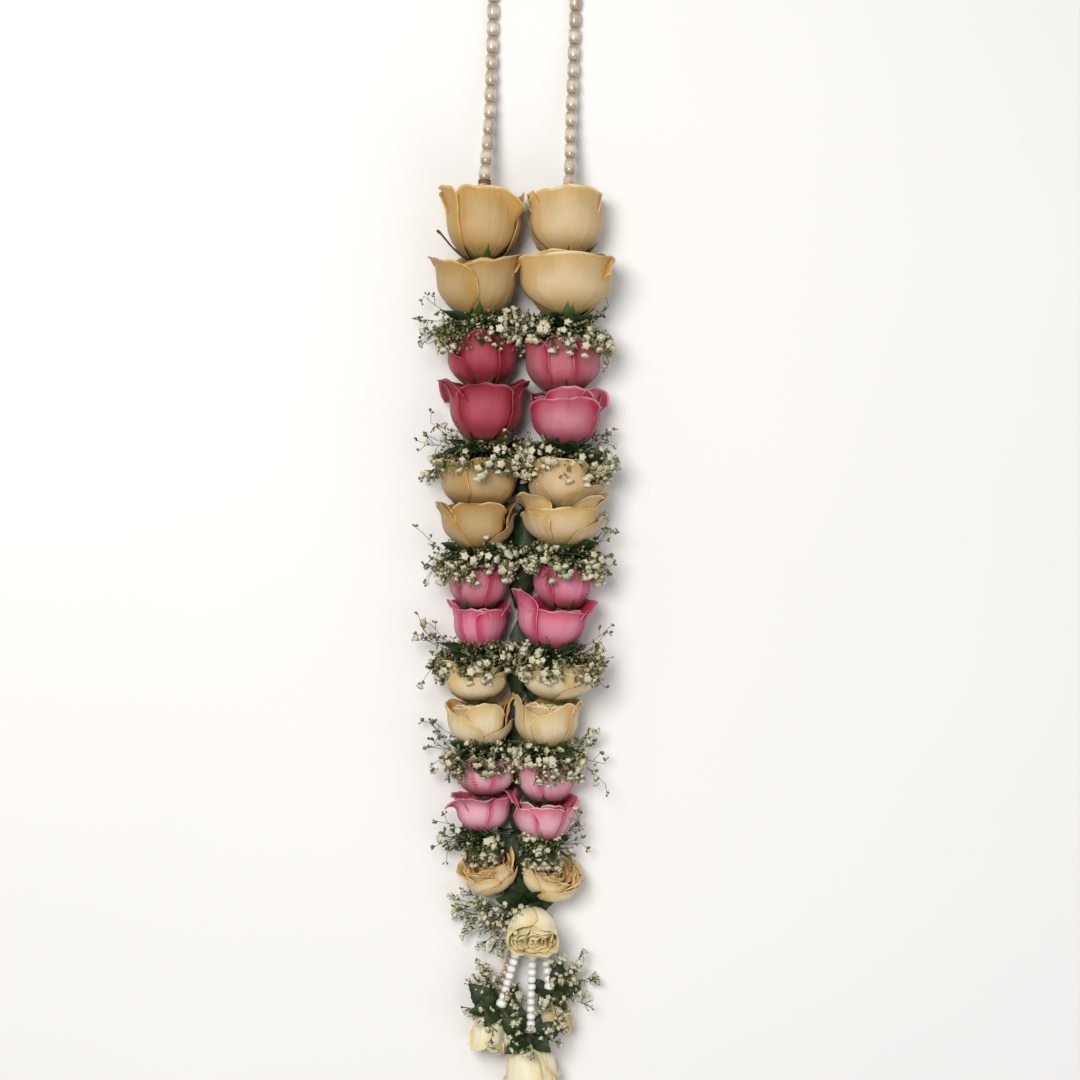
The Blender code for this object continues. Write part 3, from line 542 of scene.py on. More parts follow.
class Tree:
    """A Geometry Nodes tree that is built in code and run once on a piece."""

    def __init__(self, name: str, inputs: dict[str, str]) -> None:
        """Makes the tree with its geometry sockets.

        Args:
            name: the tree's name.
            inputs: the type of each named input.
        """
        self.tree = bpy.data.node_groups.new(name, "GeometryNodeTree")
        face = self.tree.interface
        face.new_socket("Geometry", in_out="INPUT", socket_type="NodeSocketGeometry")
        for key, kind in inputs.items():
            face.new_socket(key, in_out="INPUT", socket_type=kind)
        face.new_socket("Geometry", in_out="OUTPUT", socket_type="NodeSocketGeometry")
        self.start = self.tree.nodes.new("NodeGroupInput")
        self.end = self.tree.nodes.new("NodeGroupOutput")

    def node(self, kind: str, settings: dict[str, Any], inputs: dict[Any, Any], output: Any = 0) -> Any:
        """Adds one node and returns its wanted output socket."""
        made = self.tree.nodes.new(kind)
        for name, value in settings.items():
            setattr(made, name, value)
        for name, value in inputs.items():
            if isinstance(value, bpy.types.NodeSocket):
                self.tree.links.new(value, made.inputs[name])
            else:
                made.inputs[name].default_value = value
        return made.outputs[output]

    def given(self, name: str) -> Any:
        """The socket of a named input."""
        return self.start.outputs[name]

    def close(self, geometry: Any) -> "Tree":
        """Ends the tree with real, smooth geometry."""
        real = self.node("GeometryNodeRealizeInstances", {}, {"Geometry": geometry})
        smooth = self.node("GeometryNodeSetShadeSmooth", {}, {"Geometry": real})
        painted = self.node("GeometryNodeSetMaterial", {},
                            {"Geometry": smooth, "Material": self.given("Material")})
        self.tree.links.new(painted, self.end.inputs["Geometry"])
        return self

    def run(self, piece: bpy.types.Object, values: dict[str, Any]) -> bpy.types.Object:
        """Runs the tree on a piece and keeps the result as its plain mesh.

        Args:
            piece: the object that carries the input geometry.
            values: the named inputs' values.

        Returns:
            A new object with the result; the old one is removed.
        """
        modifier = piece.modifiers.new(self.tree.name, "NODES")
        modifier.node_group = self.tree
        for item in self.tree.interface.items_tree:
            if item.in_out == "INPUT" and item.name in values:
                modifier[item.identifier] = values[item.name]
        piece.update_tag()
        bpy.context.view_layer.update()
        graph = bpy.context.evaluated_depsgraph_get()
        mesh = bpy.data.meshes.new_from_object(piece.evaluated_get(graph), depsgraph=graph)
        name = piece.name
        bpy.data.objects.remove(piece)
        return new_object(name, mesh)


def heads_tree() -> Tree:
    """The tree that sets a small head on every stem tip, turned along the stem and sized."""
    tree = Tree("heads_on_tips", {"Head": "NodeSocketObject", "Size": "NodeSocketFloat",
                                  "Material": "NodeSocketMaterial"})
    head = tree.node("GeometryNodeObjectInfo", {}, {"Object": tree.given("Head")}, "Geometry")
    aim = tree.node("GeometryNodeInputNamedAttribute", {"data_type": "FLOAT_VECTOR"}, {"Name": "aim"},
                    "Attribute")
    swell = tree.node("GeometryNodeInputNamedAttribute", {"data_type": "FLOAT"}, {"Name": "swell"},
                      "Attribute")
    turn = tree.node("FunctionNodeAlignRotationToVector", {"axis": "Z"}, {"Vector": aim})
    size = tree.node("ShaderNodeMath", {"operation": "MULTIPLY"}, {0: swell, 1: tree.given("Size")})
    placed = tree.node("GeometryNodeInstanceOnPoints", {}, {
        "Points": tree.given("Geometry"), "Instance": head, "Rotation": turn, "Scale": size})
    return tree.close(placed)


def stems_tree() -> Tree:
    """The tree that makes a thin round stem of every chain of edges."""
    tree = Tree("stems_on_edges", {"Radius": "NodeSocketFloat", "Sides": "NodeSocketInt",
                                   "Material": "NodeSocketMaterial"})
    lines = tree.node("GeometryNodeMeshToCurve", {}, {"Mesh": tree.given("Geometry")})
    ring = tree.node("GeometryNodeCurvePrimitiveCircle", {"mode": "RADIUS"},
                     {"Resolution": tree.given("Sides"), "Radius": tree.given("Radius")}, "Curve")
    tubes = tree.node("GeometryNodeCurveToMesh", {},
                      {"Curve": lines, "Profile Curve": ring, "Fill Caps": True})
    return tree.close(tubes)


def beads_tree() -> Tree:
    """The tree that threads beads at even distances along a curve, each in line with it, the last sized."""
    tree = Tree("beads_on_string", {"Bead": "NodeSocketObject", "Count": "NodeSocketInt",
                                    "Last Size": "NodeSocketFloat", "Material": "NodeSocketMaterial"})
    even = tree.node("GeometryNodeResampleCurve", {}, {
        "Curve": tree.given("Geometry"), "Count": tree.given("Count")})
    bead = tree.node("GeometryNodeObjectInfo", {}, {"Object": tree.given("Bead")}, "Geometry")
    tangent = tree.node("GeometryNodeInputTangent", {}, {})
    turn = tree.node("FunctionNodeAlignRotationToVector", {"axis": "Z"}, {"Vector": tangent})
    number = tree.node("GeometryNodeInputIndex", {}, {})
    limit = tree.node("ShaderNodeMath", {"operation": "SUBTRACT"}, {0: tree.given("Count"), 1: 1.5})
    is_last = tree.node("ShaderNodeMath", {"operation": "GREATER_THAN"}, {0: number, 1: limit})
    size = tree.node("ShaderNodeMix", {"data_type": "FLOAT"}, {0: is_last, 2: 1.0, 3: tree.given("Last Size")})
    placed = tree.node("GeometryNodeInstanceOnPoints", {}, {
        "Points": even, "Instance": bead, "Rotation": turn, "Scale": size})
    return tree.close(placed)


def smooth_path(stops: Sequence[Vector], steps: int) -> list[Vector]:
    """Points on one smooth curve through the stops."""
    padded = [2 * stops[0] - stops[1], *stops, 2 * stops[-1] - stops[-2]]
    path = []
    for a, b, c, d in zip(padded, padded[1:], padded[2:], padded[3:]):
        for t in (step / steps for step in range(steps)):
            path.append(0.5 * (2 * b + (c - a) * t + (2 * a - 5 * b + 4 * c - d) * t**2
                               + (3 * b - a - 3 * c + d) * t**3))
    path.append(stops[-1].copy())
    return path


def line_object(name: str, path: Sequence[Vector]) -> bpy.types.Object:
    """A curve object of one open spline with straight runs."""
    curve = bpy.data.curves.new(name, "CURVE")
    curve.dimensions = "3D"
    spline = curve.splines.new("POLY")
    spline.points.add(len(path) - 1)
    for point, place in zip(spline.points, path):
        point.co = (*place, 1.0)
    return new_object(name, curve)


# Roses


@dataclass(frozen=True)
class Petal:
    """One outer petal.

    Its heading and half angle are in degrees from the side that looks up, to the right as the rose is
    seen. Its tip is a share of the rose's height, and its lip and corners bend outwards by degrees.
    """

    heading: float
    half: float
    tip: float = 1.0
    lip: float = 15.0
    left: float = 25.0
    right: float = 25.0
    drop: float = 0.2
    slant: float = 0.0
    out: float = 0.0


@dataclass(frozen=True)
class Rose:
    """One rose head: its place on the cloth, its cup and the petals that show."""

    name: str
    finish: PetalFinish
    base: Point
    height: float
    radius: float
    flare: float
    heart: float = 0.8
    lean: float = 0.0
    aim: Point | None = None
    petals: tuple[Petal, ...] = ()
    sepals: tuple[float, ...] = ()

    def matrix(self) -> Matrix:
        """The rose's place: its own Z runs along its axis and opens at the top."""
        if self.aim is None:
            turn = Euler((-math.pi / 2, 0, -math.radians(self.lean))).to_matrix()
        else:
            turn = Vector(self.aim).normalized().to_track_quat("Z", "X").to_matrix()
        return Matrix.Translation(Vector(self.base) * MM) @ turn.to_4x4()

    def front(self) -> float:
        """Heading, in the rose's own frame, of the side that looks up."""
        up = self.matrix().to_3x3().transposed() @ Vector((0, 0, 1))
        return math.atan2(up.y, up.x)

    def bowl(self, share: Any) -> Any:
        """Outer radius of the cup at a share of its height, in metres."""
        share = np.asarray(share, dtype=float)
        swell = np.sin(math.pi / 2 * np.clip(share / BELLY_HEIGHT, 0, 1)) ** BOWL_ROUNDNESS
        opening = np.clip((share - BELLY_HEIGHT) / (1 - BELLY_HEIGHT), 0, None) ** 2
        belly = 1.0 / (1.0 + max(0.0, self.flare))
        profile = NECK_SHARE + (belly - NECK_SHARE) * swell + self.flare * belly * opening
        return self.radius * MM * profile


def step(low: float, high: float, value: np.ndarray) -> np.ndarray:
    """A smooth step from 0 at low to 1 at high."""
    t = np.clip((value - low) / (high - low), 0, 1)
    return t * t * (3 - 2 * t)


class Bloom:
    """Builds one rose head: outer petals, inner whorls and calyx."""

    OUTER_GRID = (17, 19)
    INNER_GRID = (7, 9)
    THICKNESS = 0.6 * MM
    FOOT_SHARE = 0.05
    EDGE_LIFT = 0.8
    CORNER = 0.13
    CURL = math.radians(65)
    LOBES = ((3, 2.0, 0.026), (5, 4.0, 0.014), (8, 6.5, 0.007))
    WHORLS = ((0.86, 5), (0.7, 5), (0.52, 4), (0.35, 4), (0.18, 3))
    GOLDEN_ANGLE = math.radians(137.5)

    def __init__(self, rose: Rose, heart: float) -> None:
        """Keeps the rose and how high its heart may reach under what sits in its cup."""
        self.rose, self.heart = rose, heart
        self.draw = random.Random(rose.name + " petals")
        self.phases = [self.draw.uniform(0, math.tau) for _ in self.LOBES]

    def lobes(self, heading: np.ndarray, share: np.ndarray) -> np.ndarray:
        """How far out of round the cup is, all its petals alike."""
        return sum(size * np.sin(count * heading + rise * share + phase) * step(0.0, 0.4, share)
                   for (count, rise, size), phase in zip(self.LOBES, self.phases))

    def petal(self, shell: Shell, petal: Petal, girth: float, whorl: float, grid: tuple[int, int]) -> None:
        """Adds one petal.

        Args:
            shell: what it is added to.
            petal: its shape.
            girth: its distance from the axis, as a share of the cup's.
            whorl: 0 for an outer petal to 1 for the innermost.
            grid: rows and columns of its points.
        """
        rose, draw = self.rose, self.draw
        height = rose.height * MM
        rows = 1 - (1 - np.linspace(0, 1, grid[0])) ** 1.5
        v, u = np.meshgrid(rows, np.linspace(-1, 1, grid[1]), indexing="ij")
        corner = np.abs(u) ** 2.4
        top = np.minimum(petal.tip * (1 - petal.drop * corner) + petal.slant * u, max(0.98, petal.tip))
        top = top + 0.016 * np.sin(u * draw.uniform(4, 7) + draw.uniform(0, 6)) - self.CORNER * np.abs(u) ** 7
        top = top + 0.008 * np.sin(u * draw.uniform(11, 16) + draw.uniform(0, 6))
        share = self.FOOT_SHARE + (top - self.FOOT_SHARE) * v
        left, right = step(0.35, 1.0, -u), step(0.35, 1.0, u)
        rolled = (left * (petal.left > 45) + right * (petal.right > 45)
                  + (1 - left - right) * (abs(petal.lip) > 60))
        fold_start = 0.84 - 0.2 * rolled
        fold = np.clip((v - fold_start) / (1 - fold_start), 0, 1)
        bend = np.radians(petal.lip + (petal.left - petal.lip) * left + (petal.right - petal.lip) * right)
        curl = self.CURL * (0.5 + 0.5 * np.sin(u * draw.uniform(3, 6) + draw.uniform(0, 6)))
        angle = bend * fold**0.8 + (1 - whorl) * curl * step(0.93, 1.0, v)
        length = (top - self.FOOT_SHARE) * height
        dv = np.diff(rows, prepend=0.0)[:, None]
        outwards = np.cumsum(np.sin(angle) * length * dv, axis=0)
        shortfall = np.cumsum((1 - np.cos(angle)) * length * dv, axis=0)
        wave = 0.35 * MM * v**4 * np.sin(u * draw.uniform(7, 11) + draw.uniform(0, 6))
        over = petal.out * MM * (step(0, 0.4, v) + self.EDGE_LIFT * np.abs(u) ** 5 * step(0.1, 0.7, v))
        spread = 0.5 + 0.5 * np.sin(math.pi / 2 * np.clip(v / 0.45, 0, 1))
        sway = 1 + 0.05 * np.sin(4 * v + draw.uniform(0, 6))
        heading = rose.front() + math.radians(petal.heading) + u * math.radians(petal.half) * spread * sway
        radius = rose.bowl(share) * (girth + self.lobes(heading, share)) + outwards + wave + over
        points = np.stack([radius * np.cos(heading), radius * np.sin(heading),
                           share * height - shortfall], axis=-1)
        thickness = self.THICKNESS * (1 - 0.55 * v**3) * (1 - 0.45 * np.abs(u) ** 6)
        shell.sheet(points, thickness, v, u, draw.random(), whorl)

    def outer_petals(self) -> Iterable[Petal]:
        """The petals that show, and where none is given a rule's five overlapping ones."""
        draw = self.draw
        first, open_out = draw.uniform(-20, 20), 60 * max(0.0, self.rose.flare)
        if self.rose.petals:
            behind = [Petal(heading, 56, draw.uniform(0.95, 0.99), 12 + open_out, 30, 30, 0.14)
                      for heading in (118, 180, 242)]
            return [*behind, *self.rose.petals]
        return [Petal(first + k * 72 + draw.uniform(-8, 8), draw.uniform(50, 58), draw.uniform(0.93, 1.02),
                      draw.uniform(10, 22) + open_out, draw.uniform(20, 60), draw.uniform(20, 60),
                      draw.uniform(0.14, 0.24), out=0.5 * (k % 2)) for k in range(5)]

    def ceiling(self, girth: float) -> float:
        """How high a whorl may reach: the heart in the middle, and higher near the rim."""
        return self.heart + (1.0 - self.heart) * max(0.0, girth - 0.45) ** 1.5 * 1.9

    def whorls(self, shell: Shell) -> None:
        """Adds the inner petals, closing towards the heart."""
        heading = self.draw.uniform(0, 360)
        for level, (girth, count) in enumerate(self.WHORLS):
            depth = (level + 1) / len(self.WHORLS)
            tip = min(0.98, self.ceiling(girth)) - (0.02 if level else 0.05)
            for _ in range(count):
                heading += 360 / count + self.draw.uniform(-6, 6)
                shape = Petal(heading, 205 / count, tip + self.draw.uniform(-0.03, 0.02), 12 - 20 * depth,
                              15, 15, 0.1, out=self.draw.uniform(-0.5, 0.5))
                self.petal(shell, shape, girth * self.draw.uniform(0.97, 1.03), depth, self.INNER_GRID)
            heading += math.degrees(self.GOLDEN_ANGLE)

    def flower(self) -> bpy.types.Object:
        """All petals of the rose as one piece."""
        shell = Shell()
        for petal in self.outer_petals():
            self.petal(shell, petal, 1.0, 0.0, self.OUTER_GRID)
        self.whorls(shell)
        piece = new_object(f"{self.rose.name}_petals", shell.place(self.rose.matrix()).rest().mesh("petals"))
        piece.data.materials.append(FINISHES[self.rose.finish])
        return finish_piece(piece, [self.rose.name])

    def sepal(self, shell: Shell, heading: float, tip: float, half: float, curl: float) -> None:
        """Adds one pointed sepal that hugs the cup and curls away at its end."""
        rose, rows, cols = self.rose, 12, 5
        v, u = np.meshgrid(np.linspace(0, 1, rows), np.linspace(-1, 1, cols), indexing="ij")
        share = 0.03 + (tip - 0.03) * v
        away = math.radians(curl) * np.clip((v - 0.45) / 0.55, 0, 1) ** 2
        length = tip * rose.height * MM / (rows - 1)
        radius = rose.bowl(share) + (0.9 - 0.6 * np.abs(u)) * MM + np.cumsum(np.sin(away) * length, axis=0)
        width = math.radians(half) * (0.35 + 0.65 * np.sin(math.pi * np.clip(v * 1.15 + 0.1, 0, 1)))
        width = width * (1 - v**3) * 2.2 / (1 + 3 * rose.bowl(share) / (rose.radius * MM))
        around = rose.front() + math.radians(heading) + u * width
        points = np.stack([radius * np.cos(around), radius * np.sin(around), share * rose.height * MM], axis=-1)
        shell.sheet(points, np.full(v.shape, 0.7 * MM) * (1 - 0.6 * v), v, u, self.draw.random(), 0.0)

    def calyx(self) -> bpy.types.Object:
        """The green hip under the petals with its five sepals."""
        rose, shell = self.rose, Shell()
        foot = float(rose.bowl(0.04)) * 0.95
        low = -min(2.2 * MM, NEST_GAP)
        shell.lathe([(0, low), (foot * 0.5, low), (foot * 0.75, low + 0.6 * MM), (foot, 1.2 * MM),
                     (foot * 1.15, 0.05 * rose.height * MM + 1.0 * MM), (foot * 0.6, 0.09 * rose.height * MM),
                     (0, 0.1 * rose.height * MM)], 16, along=0.5, across=0.5)
        for heading in (*rose.sepals, 85, 160, 200, 275):
            self.sepal(shell, heading, self.draw.uniform(0.17, 0.3), self.draw.uniform(10, 15),
                       self.draw.uniform(0, 12))
        piece = new_object(f"{rose.name}_calyx", shell.place(rose.matrix()).rest().mesh("calyx"))
        piece.data.materials.append(FINISHES[SEPAL])
        return finish_piece(piece)

    def build(self) -> None:
        """Builds the whole rose."""
        self.flower()
        self.calyx()


def strand_rose(name: str, finish: PetalFinish, x: float, base: float, rim: float, lift: float,
                radius: float, flare: float, lean: float = 0.0, heart: float = 0.8,
                petals: tuple[Petal, ...] = (), sepals: tuple[float, ...] = ()) -> Rose:
    """A rose of a strand, which lies on its side and opens towards the neck.

    Args:
        name: its node's name.
        finish: its petals' finish.
        x: its axis's place across the garland, in mm as all its sizes.
        base: where its calyx is along the garland.
        rim: where its rim is.
        lift: its axis's height over the cloth.
        radius: its cup's radius.
        flare: how far it has opened.
        lean: how far it leans to the right, in degrees.
        heart: share of its height that its heart fills.
        petals: the outer petals that show.
        sepals: headings of the sepals that show, in degrees.

    Returns:
        The rose.
    """
    return Rose(name, finish, (x, base, lift), rim - base, radius, flare, heart, lean, None, petals, sepals)


LEFT_ROSES = (
    strand_rose("left_rose_01", CREAM, -20.8, 241.9, 292.2, 26.4, 25.2, 0.07, heart=0.86, petals=(
        Petal(6, 56, 0.97, -6, -5, 66, 0.04, -0.05), Petal(-80, 44, 1.0, -4, 0, 14, -0.08, 0, 0.9)), sepals=(10,)),
    strand_rose("left_rose_02", DEEP_CREAM, -24.6, 207.0, 250.9, 29.0, 27.8, 0.12, petals=(
        Petal(32, 58, 0.86, 10, 6, 40, 0, 0.12), Petal(-56, 56, 0.86, 14, 35, 12, 0, -0.14, 1.2)), sepals=(5,)),
    strand_rose("left_rose_03", PINK, -21.9, 161.9, 199.3, 23.2, 21.3, 0.02, petals=(
        Petal(0, 48, 1.0, 0, 5, 5, 0.3), Petal(-62, 44, 0.7, 5, 8, 5, 0, -0.25, 1.3),
        Petal(72, 40, 0.93, 5, 5, 5, 0.1, 0, 1.0)), sepals=(28, -62)),
    strand_rose("left_rose_04", PINK, -19.6, 125.8, 170.9, 28.2, 26.4, 0.16, petals=(
        Petal(0, 44, 0.86, 16, 30, 20, 0, 0, 0.9), Petal(-75, 46, 0.98, 48, 75, 55, 0.1),
        Petal(84, 44, 0.93, 14, 10, 30, 0.05, 0, 1.7))),
    strand_rose("left_rose_05", DEEP_CREAM, -23.9, 83.2, 118.0, 24.2, 24.3, 0.02, petals=(
        Petal(-58, 44, 0.98, 0, 5, 5, 0.15, 0, 1.0), Petal(22, 60, 1.0, 0, 5, 5, 0.28))),
    strand_rose("left_rose_06", DEEP_CREAM, -24.2, 57.6, 90.9, 26.6, 24.4, 0.16, petals=(
        Petal(0, 52, 0.94, 12, 20, 20, 0.02), Petal(-50, 40, 0.69, 4, 15, 4, 0, -0.68, 1.3),
        Petal(55, 42, 0.47, 6, 4, 25, 0, 0.41, 1.4), Petal(-84, 40, 1.0, 40, 60, 30, 0.1, 0, 0.2))),
    strand_rose("left_rose_07", ROSY, -24.9, 18.7, 52.2, 20.8, 19.2, 0.05, petals=(
        Petal(-14, 56, 0.92, 4, 10, 10, 0.08), Petal(62, 44, 0.82, 6, 5, 10, 0, 0.1, 1.1),
        Petal(-78, 42, 0.99, 20, 50, 20, 0.1, 0, 0.2)), sepals=(-30,)),
    strand_rose("left_rose_08", BRIGHT_PINK, -24.1, -8.0, 27.7, 19.6, 18.6, 0.18, petals=(
        Petal(-14, 46, 0.8, 5, 8, 6, 0, -0.05, 0.4), Petal(44, 48, 0.8, 8, 5, 25, 0, 0.03, 1.2),
        Petal(-76, 40, 0.97, 14, 30, 5, 0.05, -0.06, 1.0))),
    strand_rose("left_rose_09", SOFT_CREAM, -26.1, -40.0, -12.2, 23.2, 22.3, 0.14, petals=(
        Petal(-75, 48, 1.0, 10, 10, 10, 0, 0, 0.3), Petal(5, 60, 0.62, 6, 10, 15, 0, 0, 0.9),
        Petal(70, 42, 0.75, 15, 10, 30)), sepals=(45,)),
    strand_rose("left_rose_10", SOFT_CREAM, -23.6, -70.3, -38.1, 20.5, 20.4, 0.1, petals=(
        Petal(15, 40, 0.95, 5, 5, 5, 0.1), Petal(-40, 50, 0.72, 4, 10, 5, 0, -0.25, 1.0),
        Petal(42, 52, 0.42, 6, 5, 20, 0, 0.3, 2.0), Petal(104, 36, 1.1, 25, 30, 30, 0.1)), sepals=(0,)),
    strand_rose("left_rose_11", SOFT_PINK, -19.8, -101.9, -74.8, 18.6, 18.8, 0.06),
    strand_rose("left_rose_12", SOFT_PINK, -22.5, -125.8, -98.0, 19.0, 17.9, 0.14, petals=(
        Petal(-80, 50, 0.97, 45, 60, 50, 0.1), Petal(-16, 54, 1.02, 75, 140, 8, 0, -0.04, 0.6),
        Petal(56, 42, 0.9, 6, 5, 15, 0.05, 0, 1.5)), sepals=(10,)),
)
RIGHT_ROSES = (
    strand_rose("right_rose_01", MILD_CREAM, 31.9, 243.2, 292.2, 23.0, 23.5, -0.06, heart=0.86, petals=(
        Petal(8, 74, 0.985, -8, -5, -5, 0.04, 0.01, 0.6), Petal(-84, 40, 0.95, 0, 10, 20, 0.05)), sepals=(6,)),
    strand_rose("right_rose_02", MILD_CREAM, 32.6, 206.4, 250.2, 28.3, 27.9, 0.08, petals=(
        Petal(-10, 90, 0.97, 0, 5, 5, 0.03), Petal(-40, 46, 0.86, 0, 6, 4, 0.02),
        Petal(2, 76, 0.93, 6, 10, 14, -0.05, 0, 2.2), Petal(84, 30, 0.93, 35, 70, 20, 0.1, 0, 0.8)), sepals=(2, 12)),
    strand_rose("right_rose_03", WARM_PINK, 29.6, 158.0, 196.1, 22.1, 22.6, 0.0, petals=(
        Petal(0, 40, 1.0, 2, 5, 5, 0.2), Petal(-58, 40, 0.97, 4, 8, 5, 0.12, 0, 1.0),
        Petal(58, 40, 0.97, 4, 5, 8, 0.1, 0, 1.0)), sepals=(8,)),
    strand_rose("right_rose_04", ROSY, 32.0, 123.0, 163.2, 24.4, 22.2, 0.05, petals=(
        Petal(8, 46, 0.99, -2, 0, 20, 0.03), Petal(-4, 66, 0.82, 4, 10, 12, 0.02, 0.02, 2.0),
        Petal(-72, 40, 0.66, 6, 8, 8, 0, 0.14, 0.4), Petal(88, 36, 0.7, 20, 30, 30, 0.1, 0, 0.6),
        Petal(60, 36, 1.0, 20, 10, 60, 0.1)), sepals=(-42, 60)),
    strand_rose("right_rose_05", MILD_CREAM, 31.6, 81.9, 117.5, 27.4, 25.0, 0.12, petals=(
        Petal(-15, 62, 1.0, 0, 5, 5, 0.1), Petal(-70, 42, 0.7, 5, 10, 4, 0, -0.3, 1.0),
        Petal(52, 58, 0.5, 10, 6, 55, 0, 0.16, 1.3))),
    strand_rose("right_rose_06", MILD_CREAM, 30.4, 60.0, 96.0, 31.0, 28.1, 0.22, petals=(
        Petal(-66, 50, 0.98, 26, 50, 10, 0.06), Petal(64, 48, 0.93, 18, 10, 35, 0.05),
        Petal(-6, 64, 0.7, 8, 25, 20, -0.14, 0, 0.9), Petal(56, 44, 0.45, 8, 5, 40, 0, 0.2, 1.9),
        Petal(-60, 40, 0.64, 8, 25, 8, 0, -0.04, 1.7))),
    strand_rose("right_rose_07", BRIGHT_PINK, 31.0, 18.7, 52.2, 20.8, 19.8, 0.08, petals=(
        Petal(-66, 42, 0.94, 6, 8, 5, 0.06, 0, 1.0), Petal(16, 60, 0.86, 5, 6, 45, -0.06, 0.03),
        Petal(80, 40, 1.0, 25, 20, 60, 0.1)), sepals=(25,)),
    strand_rose("right_rose_08", BRIGHT_PINK, 22.0, -7.0, 30.0, 28.3, 25.6, 0.22, lean=7, petals=(
        Petal(10, 58, 0.74, 6, 8, 35, -0.1, 0.03, 0.3), Petal(-64, 36, 1.04, 6, 8, -4, 0.1, -0.04, 1.3),
        Petal(86, 40, 0.82, 25, 20, 45, 0.05))),
    strand_rose("right_rose_09", SOFT_CREAM, 27.2, -38.5, -12.3, 30.9, 26.6, 0.2, petals=(
        Petal(-30, 58, 0.78, 8, 30, 6, 0, 0, 0.5), Petal(48, 56, 0.5, 10, 5, 50, 0, 0.34, 1.5),
        Petal(30, 50, 0.85, 6, 5, 20, 0.05))),
    strand_rose("right_rose_10", SOFT_CREAM, 18.4, -71.0, -36.5, 21.3, 20.2, 0.05, lean=3, petals=(
        Petal(14, 44, 0.8, 0, 4, 4, 0, 0.22, 1.1), Petal(-40, 40, 0.8, 2, 6, 4, 0, -0.2, 0.4),
        Petal(-80, 34, 1.06, 5, 10, 10, 0.1, 0, 1.2), Petal(80, 34, 0.97, 5, 5, 10, 0.05, 0, 1.7)), sepals=(5,)),
    strand_rose("right_rose_11", SOFT_PINK, 20.4, -107.0, -75.6, 18.3, 17.8, 0.0, petals=(
        Petal(-52, 42, 0.9, 0, 5, 5, 0.1, 0, 1.1), Petal(20, 60, 1.0, -4, 0, 0, 0.15)), sepals=(-10,)),
    strand_rose("right_rose_12", SOFT_PINK, 15.8, -131.0, -97.0, 20.3, 20.2, 0.14, lean=6, petals=(
        Petal(-104, 42, 1.06, 70, 80, 50, 0.1, 0, 0.5), Petal(8, 52, 0.72, 3, 5, 10, 0, 0, 0.4),
        Petal(-42, 34, 0.66, 3, 6, 3, 0.1, -0.02, 1.4), Petal(74, 34, 0.8, 5, 5, 20, 0, 0.12, 1.2)), sepals=(0,)),
)
LEANING_ROSES = (
    Rose("left_rose_13", PEACH, (-12.3, -163.5, 10.9), 25.5, 19.0, 0.16, 0.84, aim=(-0.32, 0.88, 0.34),
         petals=(Petal(28, 60, 0.5, 8, 15, 20, 0, 0.08, 1.6), Petal(-34, 50, 0.68, 8, 25, 8, 0.05, 0.08, 0.3),
                 Petal(44, 50, 0.82, 6, 8, 25, 0.05, 0, -0.7), Petal(-84, 44, 0.92, 25, 45, 15, 0.1))),
    Rose("right_rose_13", PEACH, (17.1, -168.0, 11.1), 26.0, 19.0, 0.16, 0.8, aim=(0.34, 0.88, 0.32),
         petals=(Petal(-46, 46, 0.8, 5, 10, 5, 0, -0.26, 1.2), Petal(46, 56, 0.7, 10, 5, 35, 0, 0.2, 1.7),
                 Petal(0, 50, 0.78, 5, 5, 10, 0.05, 0, -0.4), Petal(88, 44, 0.95, 30, 30, 50, 0.1))),
    Rose("junction_rose", PALE, (10.4, -173.5, 22.0), 28.0, 15.8, 0.04, 0.93, aim=(0.04, -0.8, 0.6),
         petals=(Petal(-44, 52, 0.84, 4, 10, 12, 0.05, 0, 0.4), Petal(46, 54, 0.78, 4, 12, 10, 0.05, 0, 1.0),
                 Petal(172, 62, 1.16, -80, -45, -45, 0.12, 0, 0.8))),
    Rose("tassel_rose_left", PALE, (-12.8, -240.5, 11.8), 29.0, 10.6, 0.0, 0.7, aim=(-0.25, -0.97, 0.0),
         petals=(Petal(-36, 52, 0.92, 6, 12, 12, 0.2), Petal(44, 50, 0.98, 6, 12, 12, 0.2, 0, 0.8))),
    Rose("tassel_rose_centre", PALE, (9.6, -257.5, 17.6), 37.0, 17.0, 0.12, 0.7, aim=(0.0, -1.0, 0.0),
         petals=(Petal(38, 62, 0.98, 8, 20, 20, 0.1, 0, 0.8), Petal(-30, 50, 0.95, 6, 10, 10, 0.1),
                 Petal(-80, 46, 0.68, 45, 55, 62, 0.1, 0, 1.2))),
    Rose("tassel_rose_right", SOFT_CREAM, (24.2, -231.0, 11.2), 26.0, 9.8, -0.04, 0.7, aim=(0.12, -0.99, 0.0),
         petals=(Petal(-30, 56, 0.95, 4, 8, 8, 0.2), Petal(50, 50, 0.98, 4, 8, 8, 0.2, 0, 0.7))),
)


# Greenery


class Head(Enum):
    """What a fine stem of baby's breath carries."""

    FLORET = "floret"
    BUD = "bud"


def floret_head() -> bpy.types.Object:
    """A small double flower, ruffled round its top and dished in the middle, on a green foot."""
    shell = Shell()
    shell.lathe([(0, -1.1), (0.46, -0.5), (1.0, 0.15), (0.75, 0.5), (0, 0.28)], 10)
    points = shell.points[0]
    turn = np.arctan2(points[:, 1], points[:, 0])
    ruffle = 1 + 0.2 * np.cos(5 * turn) * (np.hypot(points[:, 0], points[:, 1]) > 0.7)
    points[:, :2] *= ruffle[:, None]
    points[:, 2] += 0.14 * np.sin(5 * turn) * (points[:, 2] > 0.1)
    shell.readings["along"] = [np.clip((points[:, 2] + 1.1) / 1.6, 0, 1)]
    return new_object("floret_head", shell.mesh("floret_head"))


